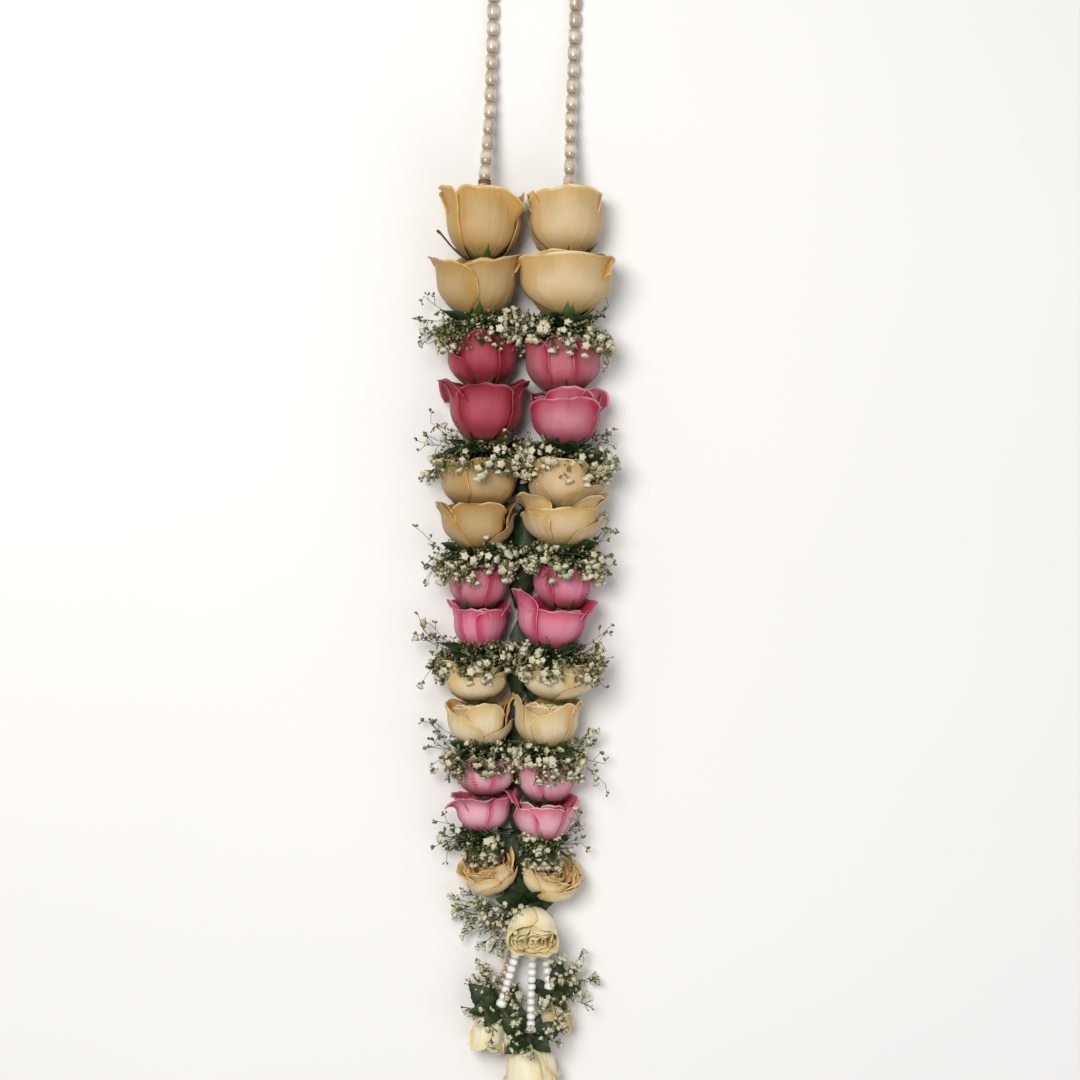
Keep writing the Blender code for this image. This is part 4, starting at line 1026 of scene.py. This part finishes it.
def bud_head() -> bpy.types.Object:
    """A closed oval bud."""
    shell = Shell()
    shell.lathe([(0, -0.85), (0.62, -0.25), (0.56, 0.4), (0, 0.9)], 4)
    shell.readings["along"] = [np.clip((shell.points[0][:, 2] + 0.8) / 1.5, 0, 1)]
    return new_object("bud_head", shell.mesh("bud_head"))


class Sprays:
    """Baby's breath round a hub: branching stems, white florets and olive buds."""

    FLORET_RADIUS = 2.1 * MM
    BUD_RADIUS = 1.3 * MM
    SWELLS = (0.6, 0.75, 0.9, 1.05, 1.2, 1.35)
    STEM_RADIUS = 0.21 * MM
    REACH = 66 * MM
    heads: dict[Head, bpy.types.Object] = {}
    trees: dict[str, Tree] = {}

    def __init__(self, name: str, size: float = 1.0) -> None:
        """Starts with no stem, and keeps how large the heads are."""
        self.name, self.size = name, size
        self.draw = random.Random(name + " breath")
        self.points: list[Vector] = []
        self.edges: list[tuple[int, int]] = []
        self.tips: dict[Head, list[tuple[Vector, Vector, float]]] = {head: [] for head in Head}

    @classmethod
    def prepare(cls) -> None:
        """Makes the heads and the trees that all sprays share."""
        cls.heads = {Head.FLORET: floret_head(), Head.BUD: bud_head()}
        cls.trees = {"heads": heads_tree(), "stems": stems_tree()}

    @classmethod
    def clear(cls) -> None:
        """Removes the heads once every spray is made."""
        for head in cls.heads.values():
            bpy.data.objects.remove(head)

    def stem(self, stops: Sequence[Vector]) -> None:
        """Adds one stem along its stops."""
        first = len(self.points)
        self.points += stops
        self.edges += [(first + k, first + k + 1) for k in range(len(stops) - 1)]

    @staticmethod
    def arc(root: Vector, bend: Vector, tip: Vector, share: float) -> Vector:
        """The place at a share of a stem that curves from its root past a bend to its tip."""
        return root * (1 - share) ** 2 + bend * 2 * share * (1 - share) + tip * share**2

    def branch(self, root: Vector, bend: Vector, tip: Vector, twigs: int) -> None:
        """Adds a long stem with short twigs of small buds along its outer part."""
        draw, limit = self.draw, self.REACH - 6 * MM
        tip.x, bend.x = (max(-limit, min(limit, x)) for x in (tip.x, bend.x))
        self.stem([self.arc(root, bend, tip, k / 6) for k in range(7)])
        ahead = (tip - bend).normalized()
        for k in range(twigs):
            foot = self.arc(root, bend, tip, 0.35 + 0.65 * (k + 1) / twigs)
            side = Vector((draw.gauss(0, 1), draw.gauss(0, 1), draw.gauss(0, 0.7))).normalized()
            end = foot + (side * 0.9 + ahead * 0.5) * draw.uniform(3, 8) * MM
            end.z = max(end.z, 3.2 * MM)
            self.cluster(foot, foot.lerp(end, 0.5), end, draw.randint(2, 4), 2.2 * MM, 0.12)

    def cluster(self, root: Vector, bend: Vector, tip: Vector, count: int, spread: float,
                florets: float) -> None:
        """Adds a stem that ends in a little branching cluster.

        Args:
            root: where it grows from.
            bend: the point that it curves towards.
            tip: the middle of its cluster.
            count: how many heads it carries.
            spread: how far they stand from its tip, in metres.
            florets: the share of them that are open.
        """
        draw = self.draw
        path = [self.arc(root, bend, tip, share) for share in (0, 0.35, 0.7, 1.0)]
        fork = path[-1] - (path[-1] - path[-2]) * 0.35
        self.stem([*path[:-1], fork])
        ahead = (path[-1] - path[-2]).normalized()
        for _ in range(count):
            side = Vector((draw.gauss(0, 1), draw.gauss(0, 1), draw.gauss(0, 1)))
            end = tip + (side.normalized() * draw.uniform(0.4, 1.0) + ahead * 0.3) * spread
            end.z = max(end.z, 3.3 * MM)
            over = abs(end.x) - self.REACH
            if over > 0:
                end.x -= math.copysign(2 * over, end.x)
            middle = fork.lerp(end, 0.5) + side * 0.08 * spread
            self.stem([fork, end])
            head = Head.FLORET if draw.random() < florets else Head.BUD
            self.tips[head].append((end, (end - middle).normalized(), draw.choice(self.SWELLS)))

    def build(self) -> list[bpy.types.Object]:
        """Runs the trees and returns the pieces: stems, florets and buds, or none without a stem."""
        if not self.points:
            return []
        mesh = bpy.data.meshes.new(self.name)
        mesh.from_pydata([tuple(p) for p in self.points], self.edges, [])
        stems = self.trees["stems"].run(new_object(f"{self.name}_stems", mesh), {
            "Radius": self.STEM_RADIUS, "Sides": 3, "Material": FINISHES[STEM]})
        made = [stems]
        for head, finish, size in ((Head.FLORET, FLORET, self.FLORET_RADIUS), (Head.BUD, BUD, self.BUD_RADIUS)):
            tips = self.tips[head]
            mesh = bpy.data.meshes.new(f"{self.name}_{head.value}s")
            mesh.from_pydata([tuple(tip[0]) for tip in tips], [], [])
            aims = np.array([tuple(tip[1]) for tip in tips], dtype=float).ravel()
            mesh.attributes.new("aim", "FLOAT_VECTOR", "POINT").data.foreach_set("vector", aims)
            swell = np.array([tip[2] for tip in tips], dtype=float)
            mesh.attributes.new("swell", "FLOAT", "POINT").data.foreach_set("value", swell)
            made.append(self.trees["heads"].run(new_object(mesh.name, mesh), {
                "Head": self.heads[head], "Size": size * self.size, "Material": FINISHES[finish]}))
        return made


@dataclass(frozen=True)
class Leaflet:
    """One toothed leaf: its root and direction, and its length and width in mm."""

    root: Vector
    along: Vector
    face: Vector
    length: float
    width: float
    teeth: int = 5


class Leaves:
    """Rose leaves with toothed edges and a fold along the midrib."""

    COLUMNS = 3
    TUFT_TEETH = 9
    THICKNESS = 0.5 * MM
    FOLD = 0.24
    DROOP = 0.22

    def __init__(self) -> None:
        """Starts with no leaf."""
        self.shell = Shell()

    def add(self, leaf: Leaflet) -> None:
        """Adds one leaf."""
        along = leaf.along.normalized()
        side = along.cross(leaf.face).normalized()
        up = side.cross(along)
        rows = np.linspace(0, 1, 2 * leaf.teeth + 1)
        v, u = np.meshgrid(rows, np.linspace(-1, 1, self.COLUMNS), indexing="ij")
        outline = np.sin(math.pi * np.clip(0.04 + 0.95 * v, 0, 0.985) ** 0.85)
        saw = 1 - 0.2 * ((v * leaf.teeth) % 1.0) * (v > 0.08) * (v < 0.96)
        half = leaf.width * MM / 2 * outline * (1 - (1 - saw) * np.abs(u) ** 6)
        lift = self.FOLD * np.abs(u) * half - self.DROOP * leaf.width * MM * v**2
        lift = lift + 0.35 * MM * np.sin(v * 15) * np.abs(u) * outline
        base, step_out = np.array(leaf.root), leaf.length * MM * v
        points = (base + step_out[..., None] * np.array(along)
                  + (u * half)[..., None] * np.array(side) + lift[..., None] * np.array(up))
        self.shell.sheet(points, np.full(v.shape, self.THICKNESS), v, u, 0.0, 0.0)

    def build(self, name: str) -> bpy.types.Object:
        """The leaves as one piece."""
        piece = new_object(name, self.shell.rest().mesh(name))
        piece.data.materials.append(FINISHES[LEAF])
        return piece


@dataclass(frozen=True)
class Hub:
    """The wrapped middle that stems and leaves grow from."""

    centre: Vector
    axis: Vector
    radius: float
    thickness: float

    def shell(self) -> Shell:
        """A short barrel with rounded shoulders and a wound waist, in metres."""
        half, shell = self.thickness / 2, Shell()
        turns = 5
        rings = [(self.radius * (0.94 + 0.06 * math.cos(math.tau * k / 2)), -half + 2 * half * k / (2 * turns))
                 for k in range(2 * turns + 1)]
        shell.lathe([(0, -half), (self.radius * 0.7, -half), *rings, (self.radius * 0.7, half), (0, half)],
                    20, along=0.3, across=0.5)
        turn = self.axis.to_track_quat("Z", "X").to_matrix().to_4x4()
        return shell.place(Matrix.Translation(self.centre) @ turn)


class Strand:
    """One strand: its roses from the neck down, and a collar after every second one."""

    COLLAR_AFTER = (1, 3, 5, 7, 9, 11)
    LAST_COLLAR_GAP = 5.5 * MM
    HUB_GAP = 0.4 * MM
    HUB_RADIUS = 6.0 * MM
    MIDDLE_LINE = 5.0 * MM
    CLUSTERS = 108
    LEAVES = (46, 46, 46, 46, 46, 30)
    BRANCH_REACH = (44, 42, 40, 42, 42, 28)
    SHADE_GAP_LEAVES = (0, 5, 8, 8, 8, 8)

    def __init__(self, side: str, roses: Sequence[Rose], last: Rose) -> None:
        """Keeps the strand's side, its roses and the leaning one at its end."""
        self.side, self.roses, self.last = side, roses, last

    def heart(self, index: int) -> float:
        """How high a rose's heart may reach under the calyx of the rose above it."""
        rose = self.roses[index]
        if index == 0:
            return rose.heart
        above = self.roses[index - 1]
        return min(0.93, (above.base[1] - NEST_GAP / MM - rose.base[1]) / rose.height)

    def hub(self, after: int) -> Hub:
        """The hub of the collar that follows a rose."""
        upper = Vector(self.roses[after].base) * MM
        if after + 1 < len(self.roses):
            rose = self.roses[after + 1]
            lower = rose.matrix() @ Vector((0, 0, rose.height * MM))
        else:
            lower = upper - Vector((0, self.LAST_COLLAR_GAP, 0))
        thickness = upper.y - lower.y - 2 * self.HUB_GAP
        return Hub((upper + lower) / 2, Vector((0, 1, 0)), self.HUB_RADIUS, thickness)

    def clearance(self, y: float) -> float:
        """Distance from the strand's axis that clears every petal at a place along it."""
        widest = self.HUB_RADIUS
        for rose in self.roses:
            share = (y / MM - rose.base[1]) / rose.height
            if 0.0 <= share <= 1.04:
                widest = max(widest, float(rose.bowl(min(1.0, share))) * 1.04)
        return widest

    def collar(self, number: int, after: int) -> None:
        """Builds one collar: stems, florets, buds, leaves and the hub."""
        hub, name = self.hub(after), f"{self.side}_collar_{number}"
        sprays = Sprays(name)
        draw = sprays.draw
        outer_side = -1 if self.side == "left" else 1
        for k in range(self.CLUSTERS):
            if k % 6 < 3:
                heading = draw.uniform(10, 170)
            elif k % 6 == 3:
                heading = 90 - outer_side * draw.uniform(50, 110)
            elif k % 6 == 4:
                heading = 90 + outer_side * draw.uniform(50, 115)
            else:
                heading = draw.uniform(165, 375)
            self.collar_cluster(sprays, hub, math.radians(heading), outer_side)
        for k in range(5):
            reach = self.BRANCH_REACH[number - 1] * draw.uniform(0.65, 1.0)
            tip = hub.centre + Vector((outer_side * reach, draw.uniform(-22, 22), draw.uniform(-12, 12))) * MM
            bend = hub.centre + Vector((outer_side * reach * 0.55, draw.uniform(-4, 8), 2)) * MM
            sprays.branch(hub.centre, bend, tip, 6)
        # A dense ring of dark rose leaves round the hub, laid thick so that they also stand for the shade between
        # the roses.
        leaves, around = Leaves(), self.LEAVES[number - 1]
        for k in range(around):
            heading = math.tau * (k + draw.uniform(-0.4, 0.4)) / around
            radial = Vector((math.cos(heading), 0, math.sin(heading)))
            along = radial + Vector((0, draw.choice((-0.5, -0.3, 0.1, 0.5)), 0))
            along += radial.cross(Vector((0, 1, 0))) * draw.uniform(-0.6, 0.6)
            length = draw.uniform(16, 25) * (0.8 if number == 6 else 1.0)
            if radial.z < 0:
                length = min(length, (hub.centre.z / MM - 4) / -radial.z - 3)
            leaves.add(Leaflet(hub.centre + radial * 3 * MM, along, radial + Vector((0, 0.8, 0)), length,
                               length * draw.uniform(0.45, 0.6)))
        # Dark leaves laid low in the gap between the strands: partly leaves, partly a dark sheet standing for the
        # shade in that gap.
        count = self.SHADE_GAP_LEAVES[number - 1]
        for k in range(count):
            place = Vector((self.MIDDLE_LINE / MM + outer_side * draw.uniform(-1, 6),
                            hub.centre.y / MM + draw.uniform(-6, 6), draw.uniform(6, 15)))
            upwards = k % 2 and number > 2
            along = Vector((-outer_side * draw.uniform(-0.1, 0.3), 1 if upwards else -1, 0.1))
            sprays.stem([hub.centre, hub.centre.lerp(place * MM, 0.5) + Vector((0, 0, MM)), place * MM])
            length = draw.uniform(20, 31)
            leaves.add(Leaflet(place * MM, along, Vector((0, 0, 1)), length, length * draw.uniform(0.42, 0.55)))
        self.finish_greens(name, hub, sprays, leaves)

    def collar_cluster(self, sprays: Sprays, hub: Hub, heading: float, outer_side: int) -> None:
        """Adds one cluster of baby's breath that lies over the roses on both sides of the hub."""
        draw = sprays.draw
        radial = Vector((math.cos(heading), 0, math.sin(heading)))
        offset = draw.choice((draw.uniform(-16, -5), draw.uniform(-13, -2), draw.uniform(-6, 6))) * MM
        reach = self.clearance(hub.centre.y + offset) + draw.uniform(1.0, 5.0) * MM
        florets = 0.27 if offset < 0 else 0.12
        if draw.random() < 0.35:
            offset, florets = draw.uniform(-8, 2) * MM, 0.08
            reach *= draw.uniform(0.6, 0.95)
        if radial.x < -0.2 and outer_side < 0:
            florets *= 0.35
        if radial.x * outer_side < -0.3:
            offset += draw.uniform(0, 9) * MM
            reach = min(reach, max(14 * MM, abs(hub.centre.x - self.MIDDLE_LINE) / abs(radial.x)))
        if radial.z < 0:
            reach = min(reach, (hub.centre.z - 3 * MM) / -radial.z)
        tip = hub.centre + radial * reach + Vector((0, offset, 0))
        bend = hub.centre + radial * reach * 0.95
        sprays.cluster(hub.centre + radial * 0.5 * hub.radius, bend, tip, draw.randint(5, 9), 4.6 * MM, florets)

    @staticmethod
    def finish_greens(name: str, hub: Hub, sprays: Sprays, leaves: Leaves) -> None:
        """Turns a hub with its sprays and leaves into pieces that stand for its node."""
        middle = new_object(f"{name}_hub", hub.shell().mesh("hub"))
        middle.data.materials.append(FINISHES[STEM])
        finish_piece(middle, [name])
        for piece in sprays.build():
            finish_piece(piece, [name])
        if leaves.shell.count:
            finish_piece(leaves.build(f"{name}_leaves"), [name])

    def build(self) -> None:
        """Builds the strand's roses and collars, and dresses its thread."""
        for index, rose in enumerate(self.roses):
            Bloom(rose, self.heart(index)).build()
        Bloom(self.last, self.last.heart).build()
        for number, after in enumerate(self.COLLAR_AFTER, 1):
            self.collar(number, after)
        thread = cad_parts[f"{self.side}_thread"]
        thread.data.materials.clear()
        thread.data.materials.append(FINISHES[COTTON])


@dataclass(frozen=True)
class Tuft:
    """Leaves and sprigs at the knot or at a tassel string's end; places and sizes in mm."""

    name: str
    centre: Point
    axis: Point
    radius: float
    thickness: float
    leaves: tuple[tuple[Point, float, float], ...]
    sprigs: tuple[Point, ...]

    ROOT_DEPTH = 1.2
    HEAD_SIZE = 0.74

    def build(self) -> None:
        """Builds the tuft where its node is."""
        centre, axis = Vector(self.centre) * MM, Vector(self.axis)
        sprays, leaves = Sprays(self.name, self.HEAD_SIZE), Leaves()
        draw = sprays.draw
        for along, length, width in self.leaves:
            along = Vector(along).normalized()
            face = Vector((0, 0, 1)) if abs(along.z) < 0.8 else Vector((0, 1, 0))
            out = (along - axis * along.dot(axis)).normalized()
            root = centre + out * (self.radius - self.ROOT_DEPTH) * MM
            leaves.add(Leaflet(root, along, face, length, width, Leaves.TUFT_TEETH))
        for place in self.sprigs:
            tip = Vector(place) * MM
            for share in (1.0, 0.86, 0.66, 0.5):
                side = Vector((draw.gauss(0, 1), draw.gauss(0, 1), draw.gauss(0, 0.7))) * 3.4 * MM
                end = centre.lerp(tip, share) + side * (1.0 if share < 1 else 0.3)
                end.z = max(end.z, 3 * MM)
                bend = centre.lerp(end, 0.5) + Vector((0, 0, 1.5 * MM))
                sprays.cluster(centre, bend, end, draw.randint(6, 9), 4.4 * MM, 0.42)
        hub = Hub(centre, axis, self.radius * MM, self.thickness * MM)
        Strand.finish_greens(self.name, hub, sprays, leaves)


TUFTS = (
    Tuft("junction_leaves", (9.7, -171.6, 11.5), (0, 1, 0), 2.2, 4.2,
         (((-0.45, 1.0, 0.5), 21, 11), ((0.4, 1.0, 0.7), 17, 8), ((-0.6, 0.15, 0.7), 30, 15),
          ((0.9, 0.15, 0.9), 17, 13), ((0.15, 0.45, 0.7), 26, 14), ((-0.9, 0.6, 0.4), 24, 13),
          ((-0.5, 0.55, 0.85), 24, 13), ((-1.0, 0.15, 0.25), 22, 12)), ()),
    Tuft("junction_spray", (1.9, -178.7, 11.5), (1, 0, 0), 2.4, 4.6, (),
         ((-42, -170, 12), (-38, -176, 14), (-33, -190, 10), (-22, -197, 16), (-27, -180, 28),
          (-12, -188, 31), (-10, -172, 34), (-24, -170, 22), (-18, -181, 24), (-15, -196, 24),
          (-8, -201, 22), (-29, -185, 16), (-2, -186, 40), (1, -176, 38), (-36, -182, 8))),
    Tuft("tassel_tuft_left", (-11.2, -238.6, 12.5), (0, 1, 0), 5.4, 2.4,
         (((-0.8, 0.75, 0.1), 21, 15), ((-0.35, -0.5, 0.75), 17, 11), ((0.75, -0.25, 0.3), 16, 11),
          ((0.45, 0.7, -0.15), 16, 11), ((-0.95, -0.2, 0.3), 16, 10), ((-0.25, 0.9, -0.1), 16, 11)),
         ((-24, -212, 14), (-17, -217, 14), (-29, -224, 10), (-33, -240, 10), (-20, -247, 26),
          (-16, -260, 25), (0, -226, 16), (-1, -236, 22))),
    Tuft("tassel_tuft_centre", (9.6, -255.3, 19.5), (0, 1, 0), 4.8, 2.9,
         (((-0.8, 0.5, 0.1), 20, 14), ((-0.7, -0.5, 0.75), 20, 14), ((0.9, 0.3, 0.2), 19, 13),
          ((0.6, -0.5, 0.9), 18, 12), ((0.05, -1.0, 0.4), 15, 12), ((0.3, 0.9, -0.1), 15, 10),
          ((-0.3, 0.9, -0.1), 15, 10)),
         ((-5, -257, 34), (6, -262, 40), (24, -247, 32), (29, -251, 24), (-2, -246, 30))),
    Tuft("tassel_tuft_right", (22.6, -228.3, 12.5), (0, 1, 0), 4.0, 1.9,
         (((0.2, 1.0, 0.1), 21, 11), ((-0.8, 0.4, 0.1), 14, 10), ((0.9, 0.1, 0.2), 17, 11),
          ((0.5, -0.6, 0.75), 16, 10), ((-0.5, -0.5, 0.9), 14, 10), ((0.7, 0.7, 0.3), 16, 9)),
         ((44, -206, 14), (52, -222, 9), (47, -238, 16), (31, -206, 22), (33, -221, 24), (31, -238, 26),
          (27, -246, 24), (20, -236, 27), (38, -214, 18), (40, -229, 12))),
)


# Strings, knot, stage


def bead_head(name: str, radius: float, half_length: float, sides: int,
              fullness: float) -> bpy.types.Object:
    """A bead about its own Z axis: an oval of revolution with its ends a little pressed in."""
    steps, shell = 9, Shell()
    arc = [math.pi * k / steps - math.pi / 2 for k in range(1, steps)]
    profile = [(0.0, -half_length * 0.93)]
    profile += [(radius * math.cos(t) ** fullness, half_length * math.sin(t)) for t in arc]
    profile.append((0.0, half_length * 0.93))
    shell.lathe(profile, sides)
    shell.readings["along"] = [shell.points[0][:, 2] / (2 * half_length) + 0.5]
    return new_object(name, shell.mesh(name))


@dataclass(frozen=True)
class Stalk:
    """A cut stalk that sticks out between two roses; its stops and radius in mm."""

    name: str
    stops: tuple[Point, ...]
    radius: float

    def build(self) -> None:
        """Builds the stalk with its tip cut square."""
        path = smooth_path([Vector(stop) * MM for stop in self.stops], 5)
        mesh = bpy.data.meshes.new(self.name)
        mesh.from_pydata([tuple(p) for p in path], [(k, k + 1) for k in range(len(path) - 1)], [])
        piece = Sprays.trees["stems"].run(new_object(self.name, mesh), {
            "Radius": self.radius * MM, "Sides": 8, "Material": FINISHES[STEM]})
        finish_piece(piece)


STALKS = (
    Stalk("left_rose_01_stalk", ((-22.0, 241.5, 30.0), (-31.0, 244.5, 37.0), (-40.0, 252.0, 37.0),
                                 (-49.5, 263.5, 34.0)), 0.65),
    Stalk("left_rose_01_stub", ((-48.6, 262.2, 34.2), (-50.6, 264.0, 33.6)), 0.95),
)


class PearlString:
    """The neck string: one free cord of oval pearls between the two top roses."""

    ROUTE = ((-20.8, 285.46, 26.4), (-20.4, 298.0, 26.4), (-17.5, 340.0, 13.25), (-15.6, 400.0, 4.1),
             (-14.8, 440.0, 4.1), (-11.22, 453.38, 4.1), (-1.43, 463.17, 4.1), (11.95, 466.75, 4.1),
             (25.33, 463.17, 4.1), (35.12, 453.38, 4.1), (38.7, 440.0, 4.1), (38.1, 400.0, 4.1),
             (35.8, 340.0, 11.86), (34.5, 298.0, 23.02), (31.9, 285.64, 23.02))
    LENGTH = 0.399
    PEARL_RADIUS = 4.0 * MM
    PEARL_HALF_LENGTH = 5.7 * MM
    PEARLS = 35
    THREAD_RADIUS = 0.6 * MM
    DIAMETER = 8 * MM
    FIRST_PEARL = 5.9 * MM
    LAST_PEARL = 11.1 * MM
    TIE_PLACE = Vector((-20.3, 294.6, 26.4)) * MM
    TIE_RADIUS = 4.4 * MM
    TIE_LENGTH = 5.6 * MM

    def build(self, trees: dict[str, Tree]) -> None:
        path = smooth_path([Vector(stop) * MM for stop in self.ROUTE], 6)
        for point in path:
            point.z = max(point.z, self.PEARL_RADIUS + 0.1 * MM)
        pearl = bead_head("one_pearl", self.PEARL_RADIUS, self.PEARL_HALF_LENGTH, 24, 0.46)
        lengths = np.cumsum([0.0] + [(b - a).length for a, b in zip(path, path[1:])])
        spacing = (lengths[-1] - self.FIRST_PEARL - self.LAST_PEARL) / (self.PEARLS - 1)
        strung = [self.point_at(path, lengths, self.FIRST_PEARL + spacing * k) for k in range(self.PEARLS)]
        string = trees["beads"].run(line_object("pearl_string", strung), {
            "Bead": pearl, "Count": self.PEARLS, "Last Size": 1.0, "Material": FINISHES[PEARL]})
        bpy.data.objects.remove(pearl)
        thread = bpy.data.meshes.new("thread_line")
        thread.from_pydata([tuple(p) for p in path], [(k, k + 1) for k in range(len(path) - 1)], [])
        core = Sprays.trees["stems"].run(new_object("pearl_thread", thread), {
            "Radius": self.THREAD_RADIUS, "Sides": 8, "Material": FINISHES[COTTON]})
        tie = new_object("neck_tie", Hub(self.TIE_PLACE, Vector((0, 1, 0)), self.TIE_RADIUS,
                                         self.TIE_LENGTH).shell().mesh("neck_tie"))
        tie.data.materials.append(FINISHES[RED_COTTON])
        finish_piece(tie)
        finish_piece(core, ["neck_pearls"])
        finish_piece(string, ["neck_pearls"])
        path[0]

    @staticmethod
    def point_at(path: Sequence[Vector], lengths: np.ndarray, want: float) -> Vector:
        """The place at a length along a path."""
        k = min(int(np.searchsorted(lengths, want, side="right")) - 1, len(path) - 2)
        return path[k].lerp(path[k + 1], (want - lengths[k]) / (lengths[k + 1] - lengths[k]))


class Tassel:
    """The knot and the four strings of small white beads under it."""

    KNOT_CENTRE = Vector((9.7, -178.7, 11.5)) * MM
    KNOT_RADIUS = 5.0 * MM
    KNOT_LENGTH = 9.0 * MM
    BEAD_RADIUS = 2.9 * MM
    BEAD_HALF_LENGTH = 2.3 * MM
    BEAD_PITCH = 4.4 * MM
    END_BEAD = 1.28
    STRINGS = (
        ("left", (7.2, -183.8, 11.5), (3.2, -192.0, 11.2), (-9.4, -236.4, 14.8)),
        ("centre", (10.2, -183.8, 12.0), (10.3, -192.5, 11.0), (9.6, -253.4, 20.0)),
        ("right", (12.6, -183.8, 10.5), (17.0, -192.0, 8.5), (21.8, -225.6, 12.6)),
        ("back", (7.6, -183.8, 8.6), (1.0, -194.0, 4.2), (-13.6, -236.2, 7.4)),
    )

    def string(self, name: str, stops: Sequence[Vector], bead: bpy.types.Object, tree: Tree,
               finish: BeadFinish) -> None:
        """Builds one bead string with a larger bead at its end."""
        path = smooth_path(stops, 4)
        length = sum((b - a).length for a, b in zip(path, path[1:]))
        count = max(2, round(length / self.BEAD_PITCH))
        beads = tree.run(line_object(f"{name}_beads", path), {
            "Bead": bead, "Count": count, "Last Size": self.END_BEAD, "Material": FINISHES[finish]})
        finish_piece(beads, [name])

    def build(self, trees: dict[str, Tree]) -> None:
        """Builds the knot and every string."""
        hub = Hub(self.KNOT_CENTRE, Vector((0, 1, 0)), self.KNOT_RADIUS, self.KNOT_LENGTH)
        knot = new_object("wound_knot", hub.shell().mesh("wound_knot"))
        knot.data.materials.append(FINISHES[COTTON])
        finish_piece(knot, ["binding_knot"])
        bead = bead_head("one_bead", self.BEAD_RADIUS, self.BEAD_HALF_LENGTH, 16, 0.42)
        for side, top, first, last in self.STRINGS:
            top, first, last = (Vector(stop) * MM for stop in (top, first, last))
            self.string(f"tassel_string_{side}", [top, first, first.lerp(last, 0.5), last], bead,
                        trees["beads"], SHADED_BEAD if side == "back" else BEAD)
        bpy.data.objects.remove(bead)


class Studio:
    """The pale floor, the soft lights and the camera that looks down on the garland."""

    FLOOR_SIZE = 8.0
    FLOOR_DROP = 0.3 * MM

    def floor(self) -> None:
        """A plain pale floor just under the garland."""
        builder = bmesh.new()
        bmesh.ops.create_grid(builder, x_segments=1, y_segments=1, size=self.FLOOR_SIZE / 2)
        bmesh.ops.translate(builder, verts=builder.verts, vec=(0, 0, -self.FLOOR_DROP))
        mesh = bpy.data.meshes.new("floor")
        builder.to_mesh(mesh)
        builder.free()
        floor = new_object("floor", mesh)
        paint = Paint("pale_floor")
        cloud = paint.noise(paint.place(), 3.0, 2.0)
        paint.set(Base_Color=paint.blend(cloud, (0.80, 0.79, 0.77), (0.84, 0.83, 0.81)), Roughness=0.85)
        mesh.materials.append(paint.material)
        floor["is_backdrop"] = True

    def light(self, name: str, place: Point, size: float, power: float, tone: Rgb) -> None:
        """One soft square light that looks at the middle of the garland."""
        data = bpy.data.lights.new(name, "AREA")
        data.size, data.energy, data.color = size, power, tone
        lamp = new_object(name, data)
        lamp.location = place
        away = Vector(place) - Vector((*FRAME_CENTRE, 0))
        lamp.rotation_euler = away.to_track_quat("Z", "Y").to_euler()

    def build(self) -> None:
        """Sets the stage."""
        self.floor()
        self.light("key", (-0.45, 0.5, 1.75), 0.8, 30.0, (1.0, 0.98, 0.95))
        self.light("fill", (1.0, -0.9, 1.4), 1.4, 9.0, (0.97, 0.98, 1.0))
        world = bpy.data.worlds.new("studio")
        bpy.context.scene.world = world
        world.use_nodes = True
        world.node_tree.nodes["Background"].inputs["Color"].default_value = (0.95, 0.96, 1.0, 1.0)
        world.node_tree.nodes["Background"].inputs["Strength"].default_value = 0.32
        camera = bpy.data.cameras.new("camera")
        camera.sensor_width = SENSOR
        camera.lens = SENSOR * CAMERA_DISTANCE / FRAME_WIDTH
        camera.clip_end = 20.0
        holder = new_object("camera", camera)
        holder.location = (*FRAME_CENTRE, ROSE_PLANE + CAMERA_DISTANCE)
        bpy.context.scene.camera = holder
        bpy.context.scene.view_settings.view_transform = "Standard"


def main() -> None:
    """Builds the stage, the strings and then every flower and green."""
    logging.basicConfig(level=logging.INFO, format="%(message)s")
    Studio().build()
    Sprays.prepare()
    trees = {"beads": beads_tree()}
    PearlString().build(trees)
    Tassel().build(trees)
    left_last, right_last, *free_roses = LEANING_ROSES
    Strand("left", LEFT_ROSES, left_last).build()
    Strand("right", RIGHT_ROSES, right_last).build()
    for rose in free_roses:
        Bloom(rose, rose.heart).build()
    for tuft in TUFTS:
        tuft.build()
    for stalk in STALKS:
        stalk.build()
    Sprays.clear()
    box = [[list(map(float, corner)) for corner in found] for found in (CAD_BOX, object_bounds())]
    {"cad": box[0], "visual": box[1]}


if __name__ == "__main__":
    main()
